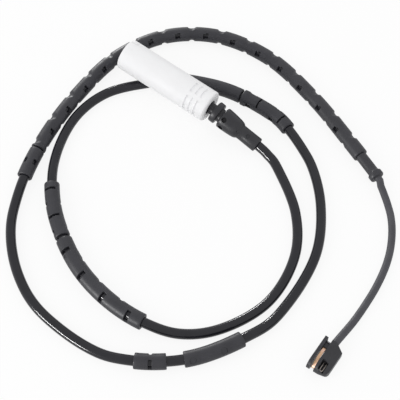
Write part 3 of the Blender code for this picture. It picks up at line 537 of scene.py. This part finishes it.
def tail_height(station):
    """The tail comes down from the collar to the floor and rises again into the head."""
    leaving = (SLEEVE_RADIUS - TAIL_RADIUS) * (1 - ease(station / TAIL_RISE_LENGTH))
    left_over = TAIL_LENGTH - station
    entering = (HEAD_ENTRY_HEIGHT - TAIL_RADIUS) * (1 - ease(left_over / TAIL_RISE_LENGTH))
    return TAIL_RADIUS + leaving + entering


TAIL_LENGTH = Path(TAIL_ROUTE, lambda station: 0.0).total
LEAD = Path(ROUTE, cable_height)
TAIL_PATH = Path(TAIL_ROUTE, tail_height)


def cable_curve(name, points, radius, look):
    """A round line through points in millimetres."""
    data = bpy.data.curves.new(name, "CURVE")
    data.dimensions = "3D"
    spline = data.splines.new("POLY")
    spline.points.add(len(points) - 1)
    for target, point in zip(spline.points, points):
        target.co = (*(point * MM), 1.0)
    spline.use_smooth = True
    data.bevel_depth = radius * MM
    data.bevel_resolution = CABLE_SIDES_RESOLUTION
    data.use_fill_caps = True
    data.materials.append(look)
    obj = bpy.data.objects.new(name, data)
    bpy.context.scene.collection.objects.link(obj)
    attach(obj, "root")
    return obj


def section_axes(tangent):
    """The level direction and the upward one across a line."""
    side = tangent.cross(Vector((0, 0, 1))).normalized()
    return side, side.cross(tangent).normalized()


# Sleeves

class Opening:
    """A window through a sleeve's wall; turn runs from straight up towards the spiral's inside."""

    def __init__(self, middle, length, turn, width, both=True):
        self.start = middle - length / 2
        self.end = middle + length / 2
        self.turn = turn
        self.half_width = width / 2
        self.period = 180.0 if both else 360.0

    def away(self, angle):
        half = self.period / 2
        return (angle - self.turn + half) % self.period - half

    def holds(self, station, angle):
        if not self.start < station < self.end:
            return False
        return abs(self.away(angle)) < self.half_width


class Scoop(Opening):
    """A rounded hollow in a sleeve's outside that doesn't go through its wall."""

    def __init__(self, middle, length, turn, width, depth):
        super().__init__(middle, length, turn, width, both=False)
        self.depth = depth

    def sinks(self, station, angle):
        along = (station - (self.start + self.end) / 2) / ((self.end - self.start) / 2)
        across = self.away(angle) / self.half_width
        return self.depth * math.sqrt(max(1 - along * along - across * across, 0.0))


def nothing(station):
    return 0.0


def sleeve(name, start, end, radius, openings=(), twist=nothing, outline=nothing, scoops=()):
    """A moulded tube along the lead whose wall is left out where it has windows.

    twist gives the grid's turn at a station; outline gives the change of radius there.
    """
    chamfer = SLEEVE_CHAMFER
    fixed = {start, start + chamfer * 0.4, start + chamfer, end - chamfer, end - chamfer * 0.4, end}
    for opening in openings:
        fixed.update((opening.start, opening.end))
    for scoop in scoops:
        reach = scoop.end - scoop.start
        fixed.update(scoop.start + reach * k / SCOOP_STEPS for k in range(SCOOP_STEPS + 1))
    fixed = sorted(place for place in fixed if start <= place <= end)
    rings = []
    for a, b in zip(fixed, fixed[1:]):
        count = max(1, round((b - a) / RING_STEP))
        rings += [a + (b - a) * k / count for k in range(count)]
    rings.append(fixed[-1])

    def outer_radius(station):
        edge = min(station - start, end - station)
        share = min(max(1 - edge / chamfer, 0.0), 1.0)
        return radius + outline(station) - chamfer * (1 - math.sqrt(max(1 - share * share, 0.0)))

    cell = 360.0 / SLEEVE_SIDES
    bm = bmesh.new()
    outer, inner = [], []
    for station in rings:
        centre = LEAD.on_curve(station)
        side, up = section_axes(LEAD.tangent(station))
        outer_ring, inner_ring = [], []
        for k in range(SLEEVE_SIDES):
            turn = twist(station) + cell * (k + 0.5)
            angle = math.radians(turn)
            spoke = side * math.sin(angle) + up * math.cos(angle)
            sunk = max((scoop.sinks(station, turn) for scoop in scoops), default=0.0)
            outer_ring.append(bm.verts.new(centre + spoke * (outer_radius(station) - sunk)))
            inner_ring.append(bm.verts.new(centre + spoke * BORE_RADIUS))
        outer.append(outer_ring)
        inner.append(inner_ring)

    def solid(i, k):
        if not 0 <= i < len(rings) - 1:
            return False
        station = (rings[i] + rings[i + 1]) / 2
        angle = twist(station) + cell * (k + 1)
        return not any(opening.holds(station, angle) for opening in openings)

    for i in range(len(rings) - 1):
        for k in range(SLEEVE_SIDES):
            if not solid(i, k):
                continue
            n = (k + 1) % SLEEVE_SIDES
            bm.faces.new((outer[i][k], outer[i][n], outer[i + 1][n], outer[i + 1][k]))
            bm.faces.new((inner[i][k], inner[i + 1][k], inner[i + 1][n], inner[i][n]))
            if not solid(i - 1, k):
                bm.faces.new((outer[i][k], inner[i][k], inner[i][n], outer[i][n]))
            if not solid(i + 1, k):
                bm.faces.new((outer[i + 1][k], outer[i + 1][n], inner[i + 1][n], inner[i + 1][k]))
            if not solid(i, (k - 1) % SLEEVE_SIDES):
                bm.faces.new((outer[i][k], outer[i + 1][k], inner[i + 1][k], inner[i][k]))
            if not solid(i, n):
                bm.faces.new((outer[i][n], inner[i][n], inner[i + 1][n], outer[i + 1][n]))
    loose = [v for v in bm.verts if not v.link_faces]
    bmesh.ops.delete(bm, geom=loose, context="VERTS")
    return piece(name, bm, SLEEVE, bevel=SLEEVE_BEVEL, smooth_angle=50.0)


def row(first, pitch, count, length, turn, width):
    """Like openings at an even pitch, in pairs across the lead; turn is a rule of the station."""
    middles = [first + pitch * k for k in range(count)]
    return [Opening(middle, length, turn(middle), width) for middle in middles]


def fixed_turn(turn):
    return lambda station: turn


def dress_lower_left():
    first, pitch = LOWER_LEFT_START + LOWER_LEFT_FIRST, LOWER_LEFT_PITCH
    turn = fixed_turn(LOWER_LEFT_TURN)
    slots = row(first, pitch, count=4, length=2.2, turn=turn, width=112.5)
    scoops = []
    for k in range(3):
        middle = first + pitch * (k + 0.5)
        scoops.append(Scoop(middle, length=3.0, turn=76.0, width=60.0, depth=0.7))
    middle = LOWER_LEFT_START + LOWER_LEFT_DIMPLE
    scoops.append(Scoop(middle, length=1.4, turn=-58.0, width=22.0, depth=0.9))
    made = sleeve("lower_left_cover", LOWER_LEFT_START, LOWER_LEFT_END, WIDE_RADIUS, slots,
                  twist=turn, scoops=scoops)
    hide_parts("lower_left_sleeve")


def dress_upper_left():
    first, pitch = UPPER_LEFT_START + UPPER_LEFT_FIRST, UPPER_LEFT_PITCH
    turn = fixed_turn(UPPER_LEFT_TURN)
    openings = row(first, pitch, count=2, length=1.4, turn=turn, width=120.0)
    sideways = fixed_turn(UPPER_LEFT_TURN + 120.0)
    openings += row(first - pitch / 2, pitch, count=2, length=2.0, turn=sideways, width=52.5)
    made = sleeve("upper_left_cover", UPPER_LEFT_START, UPPER_LEFT_END, SLEEVE_RADIUS, openings,
                  twist=turn)
    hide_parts("upper_left_sleeve")


def dress_upper():
    plain = sleeve("upper_plain_cover", PLAIN_START, PLAIN_END, SLEEVE_RADIUS)
    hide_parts("upper_plain_sleeve")
    first, pitch = UPPER_MID_START + UPPER_MID_FIRST, UPPER_MID_PITCH
    turn = fixed_turn(UPPER_MID_TURN)
    openings = row(first, pitch, count=2, length=1.0, turn=turn, width=112.5)
    sideways = fixed_turn(UPPER_MID_TURN + 90.0)
    openings += row(first - pitch / 3, pitch, count=2, length=3.0, turn=sideways, width=67.5)

    def ring(station):
        reach = station - UPPER_MID_START
        return RING_PROUD * (1 - ease((reach - RING_LENGTH + RING_EDGE / 2) / RING_EDGE))

    made = sleeve("upper_mid_cover", UPPER_MID_START, UPPER_MID_END, SLEEVE_RADIUS, openings,
                  twist=turn, outline=ring)
    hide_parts("upper_mid_sleeve")


def dress_lower_right():
    made = sleeve("lower_right_cover", LOWER_RIGHT_START, LOWER_RIGHT_END, SLEEVE_RADIUS)
    pegs = []
    for k in range(2):
        station = LOWER_RIGHT_START + DIMPLE_FIRST + DIMPLE_PITCH * k
        side, up = section_axes(LEAD.tangent(station))
        angle = math.radians(DIMPLE_TURN)
        spoke = side * math.sin(angle) + up * math.cos(angle)
        bottom = LEAD.on_curve(station) + spoke * (SLEEVE_RADIUS - DIMPLE_DEPTH)
        peg = rod(0, 2.0, DIMPLE_RADIUS, 32)
        aim = spoke.to_track_quat("X", "Z").to_matrix().to_4x4()
        peg.transform(Matrix.Translation(bottom) @ aim)
        pegs.append(peg)
    boolean(made, mesh_object("dimples", joined(pegs)))
    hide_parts("lower_right_sleeve")


def dress_clip():
    middle = (CLIP_START + CLIP_END) / 2
    slot = Opening(middle, length=1.7, turn=CLIP_TURN, width=90.0)
    dent = Scoop(middle, length=2.0, turn=66.0, width=60.0, depth=0.6)
    made = sleeve("clip_cover", CLIP_START, CLIP_END, SLEEVE_RADIUS, [slot],
                  twist=fixed_turn(CLIP_TURN), scoops=[dent])
    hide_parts("clip_sleeve")


def long_turn(station):
    """The long sleeve's windows turn slowly round the lead."""
    share = (station - LONG_START) / (LONG_END - LONG_START)
    return WINDOW_TURN + WINDOW_TURN_GAIN * min(max(share, 0.0), 1.0)


def dress_outer_left():
    middle = (OUTER_LEFT_START + OUTER_LEFT_END) / 2
    turns = (WINDOW_TURN, WINDOW_TURN + 90.0)
    openings = [Opening(middle, WINDOW_LENGTH, turn, WINDOW_WIDTH) for turn in turns]
    made = sleeve("outer_left_cover", OUTER_LEFT_START, OUTER_LEFT_END, SLEEVE_RADIUS, openings,
                  twist=long_turn)
    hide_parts("outer_left_sleeve")


def dress_long():
    first, pitch = LONG_START + LONG_FIRST, LONG_PITCH
    openings = row(first + pitch / 2, pitch, LONG_WINDOWS, WINDOW_LENGTH, long_turn, WINDOW_WIDTH)
    scoops = []
    for k in range(LONG_WINDOWS + 1):
        middle = first + pitch * k
        scoops.append(Scoop(middle, length=4.4, turn=SCOOP_TURN, width=140.0, depth=0.8))
        scoops.append(Scoop(middle, length=3.2, turn=SCOOP_TURN + 185, width=80.0, depth=0.7))
    made = sleeve("long_cover", LONG_START, LONG_END, SLEEVE_RADIUS, openings, twist=long_turn,
                  scoops=scoops)
    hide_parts("long_sleeve")


def dress_lead():
    exit_place = LEAD.on_curve(0)
    points = [exit_place - LEAD.tangent(0) * CABLE_START_GAP]
    points += LEAD.points(0.0, LONG_END, CABLE_LINE_STEP)
    lead = cable_curve("lead", points, CABLE_RADIUS, CABLE)
    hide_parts("main_cable")
    collar_end = LEAD.on_curve(COLLAR_END)
    line = [LEAD.on_curve(COLLAR_END + k) for k in (-1.0, 0.6, 2.0)]
    line += TAIL_PATH.points(TAIL_LINE_START, TAIL_PATH.total, TAIL_LINE_STEP)
    tail = cable_curve("tail", line, TAIL_RADIUS, TAIL)
    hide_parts("tail_cable")


# Neck and collar

def dress_collar():
    """A round neck that ends in a collar with a flat top and bottom between its two ears."""
    neck, collar = NECK_RADIUS, COLLAR_RADIUS
    marks = [
        (LONG_END + 0.3, neck, False), (LONG_END + 4.0, neck, False), (LONG_END + 8.0, neck, False),
        (COLLAR_START - 0.9, neck, False), (COLLAR_START - 0.2, neck + 0.15, False),
        (COLLAR_START + 0.2, collar - 0.3, True), (COLLAR_START + 0.5, collar, True),
        (COLLAR_END - 0.5, collar, True), (COLLAR_END - 0.1, collar - 0.25, True),
        (COLLAR_END, collar - 0.6, True),
    ]
    sections = []
    for station, radius, eared in marks:
        centre = LEAD.on_curve(station)
        side, up = section_axes(LEAD.tangent(min(station, LEAD.total - 1)))
        section = []
        for k in range(SLEEVE_SIDES):
            angle = math.tau * (k + 0.5) / SLEEVE_SIDES
            across = radius * math.sin(angle)
            high = radius * math.cos(angle)
            if eared and abs(across) < COLLAR_EAR:
                high = math.copysign(min(abs(high), COLLAR_WAIST), high)
            section.append(centre + side * across + up * high)
        sections.append(section)
    made = piece("collar", lofted(sections), SLEEVE, smooth_angle=60.0)
    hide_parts("transition_collar")


# Plug

def plug_frame():
    """The plug's own frame: origin at its rear, X towards its open front."""
    slope = math.radians(PLUG_SLOPE)
    forward = Vector((-math.cos(slope), 0, math.sin(slope)))
    up = Vector((math.sin(slope), 0, math.cos(slope)))
    axes = Matrix((forward, up.cross(forward), up)).transposed().to_4x4()
    return Matrix.Translation(PLUG_REAR) @ axes


def ring_segment(start, length, inner, outer, middle, width, steps=32):
    """Part of a ring about X."""
    sections = []
    for k in range(steps + 1):
        angle = math.radians(middle - width / 2 + width * k / steps)
        across = Vector((0, math.cos(angle), math.sin(angle)))
        a, b = Vector((start, 0, 0)), Vector((start + length, 0, 0))
        sections.append([a + across * inner, b + across * inner, b + across * outer, a + across * outer])
    return lofted(sections)


def dress_plug():
    place = plug_frame()
    profile = [
        (0, PLUG_RADIUS - 0.9), (0.25, PLUG_RADIUS - 0.4), (0.7, PLUG_RADIUS - 0.05), (1.1, PLUG_RADIUS),
        (PLUG_LENGTH - 0.7, PLUG_RADIUS), (PLUG_LENGTH - 0.25, PLUG_RADIUS - 0.15),
        (PLUG_LENGTH, PLUG_RADIUS - 0.5),
        (PLUG_LENGTH, SOCKET_RADIUS + 0.3), (PLUG_LENGTH - 0.3, SOCKET_RADIUS),
        (CARRIER_REAR, SOCKET_RADIUS), (CARRIER_REAR, SHELL_INSIDE), (SHELL_END, SHELL_INSIDE),
        (SHELL_END, ENTRY_RADIUS), (0, ENTRY_RADIUS),
    ]
    housing = piece("plug_shell", turned(profile, 96, closed=True), PLUG, place,
                    bevel=0.18, smooth_angle=35.0)
    outside = PLUG_RADIUS + CUT_OVERRUN
    grooves = []
    for k in range(3):
        start, bottom = GROOVE_FIRST + GROOVE_PITCH * k, PLUG_RADIUS - GROOVE_DEPTH
        for middle, width in GRIPS:
            grooves.append(ring_segment(start, GROOVE_LENGTH, bottom, outside, middle, width))
    boolean(housing, mesh_object("grip", joined(grooves), place))
    keys = []
    start, bottom = PLUG_LENGTH - KEY_LENGTH, PLUG_RADIUS - KEY_DEPTH
    for middle in KEY_TURNS:
        keys.append(ring_segment(start, KEY_LENGTH + CUT_OVERRUN, bottom, outside, middle, KEY_WIDTH, 8))
    boolean(housing, mesh_object("keys", joined(keys), place))
    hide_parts("plug_housing")

    radius = SOCKET_RADIUS - CARRIER_GAP
    start, end = CARRIER_REAR + CARRIER_GAP, CARRIER_REAR + CARRIER_LENGTH
    chamfer = CARRIER_CHAMFER
    profile = [(start, 0), (start, radius), (end - chamfer, radius), (end, radius - chamfer), (end, 0)]
    carrier = piece("carrier", turned(profile, 64), CARRIER, place, bevel=0.1)
    holes = []
    for across in (-PIN_SPACING / 2, PIN_SPACING / 2):
        hole = rod(start - CUT_OVERRUN, end + CUT_OVERRUN, PIN_RADIUS + PIN_CLEARANCE, 32)
        hole.transform(Matrix.Translation((0, across, 0)))
        holes.append(hole)
    boolean(carrier, mesh_object("holes", joined(holes), place))
    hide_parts("pin_carrier")
    for index, across in ((1, -PIN_SPACING / 2), (2, PIN_SPACING / 2)):
        barrel = CARRIER_REAR - BARREL_LENGTH
        profile = [
            (barrel, 0), (barrel, BARREL_RADIUS), (CARRIER_REAR - BARREL_TAPER, BARREL_RADIUS),
            (CARRIER_REAR, PIN_RADIUS), *arc((PIN_TIP - PIN_RADIUS, 0), PIN_RADIUS, 90, 0, 8),
        ]
        pin = turned(profile, 32)
        pin.transform(Matrix.Translation((0, across, 0)))
        made = piece(f"pin_{index}", pin, BRASS, place)
        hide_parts(f"contact_pin_{index}")


# Boot

def dress_boot():
    end = LEAD.on_curve(0)
    forward = (end - PLUG_REAR).normalized()
    side = Vector((0, 0, 1)).cross(forward).normalized()
    axes = Matrix((forward, side, forward.cross(side))).transposed().to_4x4()
    place = Matrix.Translation(PLUG_REAR) @ axes
    reach = (end - PLUG_REAR).length
    profile = BOOT_PROFILE + [(reach - back, radius) for back, radius in BOOT_END_PROFILE]
    boot = piece("boot", turned(profile, 64), BOOT, place, bevel=0.12, smooth_angle=45.0)
    vents = []
    for along, angle, bottom, radius in BOOT_HOLLOWS:
        peg = rod(0, HOLLOW_PEG, radius, 32)
        peg.transform(Matrix.Rotation(math.radians(-90), 4, "Y"))
        turn = Matrix.Rotation(math.radians(angle), 4, "X")
        peg.transform(turn @ Matrix.Translation((along, 0, bottom)))
        vents.append(peg)
    boolean(boot, mesh_object("vents", joined(vents), place))
    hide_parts("strain_boot")


# Head

def nose_outline(rear, front, bottom, top, radius, steps=12):
    """A side outline, as (y, z) points, that is round at its front."""
    radius = min(radius, (top - bottom) / 2)
    lower = arc((front + radius, bottom + radius), radius, -90, -180, steps)
    upper = arc((front + radius, top - radius), radius, 180, 90, steps)
    return [(rear, bottom)] + lower + upper + [(rear, top)]


def at_x(x, outline):
    return [(x, y, z) for y, z in outline]


def dress_head():
    side = nose_outline(HEAD_REAR_Y, HEAD_FRONT_Y, 0, HEAD_HEIGHT, NOSE_RADIUS)
    edge = nose_outline(HEAD_REAR_Y - EDGE_SETBACK, HEAD_FRONT_Y + EDGE_SETBACK, 0, EDGE_HEIGHT, NOSE_RADIUS)
    block = lofted([at_x(BLOCK_X, side), at_x(FLAT_END_X, side), at_x(BLOCK_END_X, edge)])
    head = piece("head_shell", block, HEAD, bevel=0.22, smooth_angle=30.0, segments=3)
    plate = lofted([at_x(HEAD_X, side), at_x(HEAD_X + PLATE_THICKNESS, side)])
    boolean(head, mesh_object("plate", plate), "UNION")
    across_slot = (HEAD_X + PLATE_THICKNESS - OVERLAP, BLOCK_X + OVERLAP)
    joins = (
        ("bridge", BRIDGE_REAR_Y, BRIDGE_FRONT_Y, 0, BRIDGE_HEIGHT),
        ("cap", CAP_REAR_Y, CAP_FRONT_Y, CAP_BOTTOM, CAP_TOP),
    )
    for name, rear, front, bottom, top in joins:
        outline = [(rear, bottom), (front, bottom), (front, top), (rear, top)]
        boolean(head, mesh_object(name, lofted([at_x(x, outline) for x in across_slot])), "UNION")
    corner, middle = BLOCK_END_X + CUT_OVERRUN, HEAD_FRONT_Y + CORNER_RADIUS
    outside = HEAD_FRONT_Y - CUT_OVERRUN
    rounding = [(corner, middle), (corner, outside), (CORNER_X, outside)]
    rounding += arc((CORNER_X, middle), CORNER_RADIUS, -90, 0, 10)
    over_top = HEAD_HEIGHT + CUT_OVERRUN
    shave = lofted([[(x, y, z) for x, y in rounding] for z in (-CUT_OVERRUN, over_top)])
    boolean(head, mesh_object("shave", shave))
    (x0, x1), (y0, y1) = POCKET_X, POCKET_Y
    corners = ((x0, y0), (x1, y0), (x1, y1), (x0, y1))
    pocket = lofted([[(x, y, z) for x, y in corners] for z in (POCKET_FLOOR, over_top)])
    boolean(head, mesh_object("pocket", pocket))
    height = POCKET_FLOOR + LOOP_BORE
    bores = []
    for x in (x0 + LOOP_BORE, x1 - LOOP_BORE):
        bore = rod(-CUT_OVERRUN, LOOP_BORE_LENGTH, LOOP_BORE, 24)
        bore.transform(Matrix.Translation((x, y1, height)) @ Matrix.Rotation(math.pi / 2, 4, "Z"))
        bores.append(bore)
    boolean(head, mesh_object("bores", joined(bores)))
    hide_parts("head_body")

    radius = (x1 - x0) / 2 - LOOP_BORE
    bend_y = y0 + LOOP_BORE + radius
    flat = [(x0 + LOOP_BORE, LOOP_REAR_Y)] + arc(((x0 + x1) / 2, bend_y), radius, 180, 360, 16)
    flat.append((x1 - LOOP_BORE, LOOP_REAR_Y))
    loop = cable_curve("sense_loop", [Vector((x, y, height)) for x, y in flat], LOOP_WIRE_RADIUS, COPPER)
    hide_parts("wear_loop")

    slot0, slot1 = HEAD_X + PLATE_THICKNESS + SLOT_GAP, BLOCK_X - SLOT_GAP
    upper, lower = [], []
    for k in range(LEAF_STEPS + 1):
        share = k / LEAF_STEPS
        y = LEAF_REAR_Y - LEAF_LENGTH * share
        z = LEAF_HEIGHT + LEAF_ARCH * math.sin(math.pi * share) - LEAF_DROP * share ** 4
        lower.append((y, z))
        upper.append((y, z + LEAF_THICKNESS))
    outline = lower + list(reversed(upper))
    leaf = piece("leaf", lofted([at_x(slot0, outline), at_x(slot1, outline)]), BRONZE,
                 bevel=0.08, smooth_angle=50.0)
    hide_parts("spring_leaf")
    radius, chamfer = CROSS_PIN_RADIUS, CROSS_PIN_CHAMFER
    pin = turned([
        (slot0, 0), (slot0, radius - chamfer), (slot0 + chamfer, radius),
        (slot1 - chamfer, radius), (slot1, radius - chamfer), (slot1, 0),
    ], 24)
    pin.transform(Matrix.Translation(CROSS_PIN_PLACE))
    made = piece("cross_pin", pin, STEEL)
    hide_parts("retaining_pin")


# Studio

def lamp(name, place, size, power, size_y=None):
    """An area lamp that points at the part's middle."""
    data = bpy.data.lights.new(name, "AREA")
    data.energy = power
    data.size = size
    if size_y:
        data.shape = "RECTANGLE"
        data.size_y = size_y
    obj = bpy.data.objects.new(name, data)
    obj.location = place
    obj.rotation_euler = (-Vector(place)).to_track_quat("-Z", "Y").to_euler()
    bpy.context.scene.collection.objects.link(obj)
    return obj


def white_background(tree, shaded, target):
    """Camera, glossy and transmission rays see the background; other rays get what is shaded.

    The background's own shader goes into the last socket of the node that is returned.
    """
    path = tree.nodes.new("ShaderNodeLightPath")
    most = path.outputs["Is Camera Ray"]
    for other in ("Is Glossy Ray", "Is Transmission Ray"):
        node = tree.nodes.new("ShaderNodeMath")
        node.operation = "MAXIMUM"
        tree.links.new(most, node.inputs[0])
        tree.links.new(path.outputs[other], node.inputs[1])
        most = node.outputs[0]
    mix = tree.nodes.new("ShaderNodeMixShader")
    tree.links.new(most, mix.inputs[0])
    tree.links.new(shaded, mix.inputs[1])
    tree.links.new(mix.outputs[0], target)
    return mix


def studio():
    world = bpy.data.worlds.new("studio_world")
    world.use_nodes = True
    bpy.context.scene.world = world
    tree = world.node_tree
    soft = tree.nodes["Background"]
    soft.inputs["Color"].default_value = WHITE
    soft.inputs["Strength"].default_value = WORLD_STRENGTH
    white = tree.nodes.new("ShaderNodeBackground")
    white.inputs["Strength"].default_value = 1.0
    white.inputs["Color"].default_value = WHITE
    mix = white_background(tree, soft.outputs[0], tree.nodes["World Output"].inputs["Surface"])
    tree.links.new(white.outputs[0], mix.inputs[2])

    bm = bmesh.new()
    bmesh.ops.create_grid(bm, x_segments=1, y_segments=1, size=FLOOR_REACH)
    mesh = bpy.data.meshes.new("floor")
    bm.to_mesh(mesh)
    bm.free()
    floor = bpy.data.objects.new("floor", mesh)
    bpy.context.scene.collection.objects.link(floor)
    made = Nodes("floor_white")
    made.shader.inputs["Base Color"].default_value = FLOOR_COLOUR
    made.shader.inputs["Roughness"].default_value = FLOOR_ROUGHNESS
    glow = made.add("ShaderNodeEmission")
    glow.inputs["Strength"].default_value = 1.0
    blend = made.add("ShaderNodeMixShader")
    blend.inputs[0].default_value = FLOOR_GLOW_SHARE
    made.link(made.shader.outputs[0], blend.inputs[1])
    made.link(glow.outputs[0], blend.inputs[2])
    output = made.tree.nodes["Material Output"].inputs["Surface"]
    mix = white_background(made.tree, made.shader.outputs[0], output)
    made.link(blend.outputs[0], mix.inputs[2])
    mesh.materials.append(made.material)

    key = lamp("key", (-0.51, -0.66, 0.55), size=0.5, power=1.6)
    key.visible_glossy = False
    # These two only draw the thin bright streaks along the cable
    front = lamp("front_streak", (-0.36, -0.88, 0.16), size=0.42, power=12.0, size_y=0.1)
    left = lamp("left_streak", (-0.82, 0.56, 0.16), size=0.22, power=6.0, size_y=0.1)
    for streak in (front, left):
        streak.visible_diffuse = False


def camera():
    data = bpy.data.cameras.new("camera")
    data.angle = math.radians(CAMERA_ANGLE)
    obj = bpy.data.objects.new("camera", data)
    obj.location = Vector(CAMERA_PLACE) * MM
    aim = Vector(CAMERA_AIM) * MM - obj.location
    obj.rotation_euler = aim.to_track_quat("-Z", "Y").to_euler()
    bpy.context.scene.collection.objects.link(obj)
    bpy.context.scene.camera = obj


def paint(node, look):
    """Give a kept solid a finer material."""
    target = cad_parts[node]
    for slot in target.material_slots:
        slot.material = look


dress_lead()
dress_lower_left()
dress_upper_left()
dress_upper()
dress_lower_right()
dress_clip()
dress_outer_left()
dress_long()
dress_collar()
dress_plug()
dress_boot()
dress_head()
paint("core_wire_1", BOOT)
paint("core_wire_2", BOOT)
studio()
camera()
bpy.context.scene.view_settings.view_transform = "Standard"
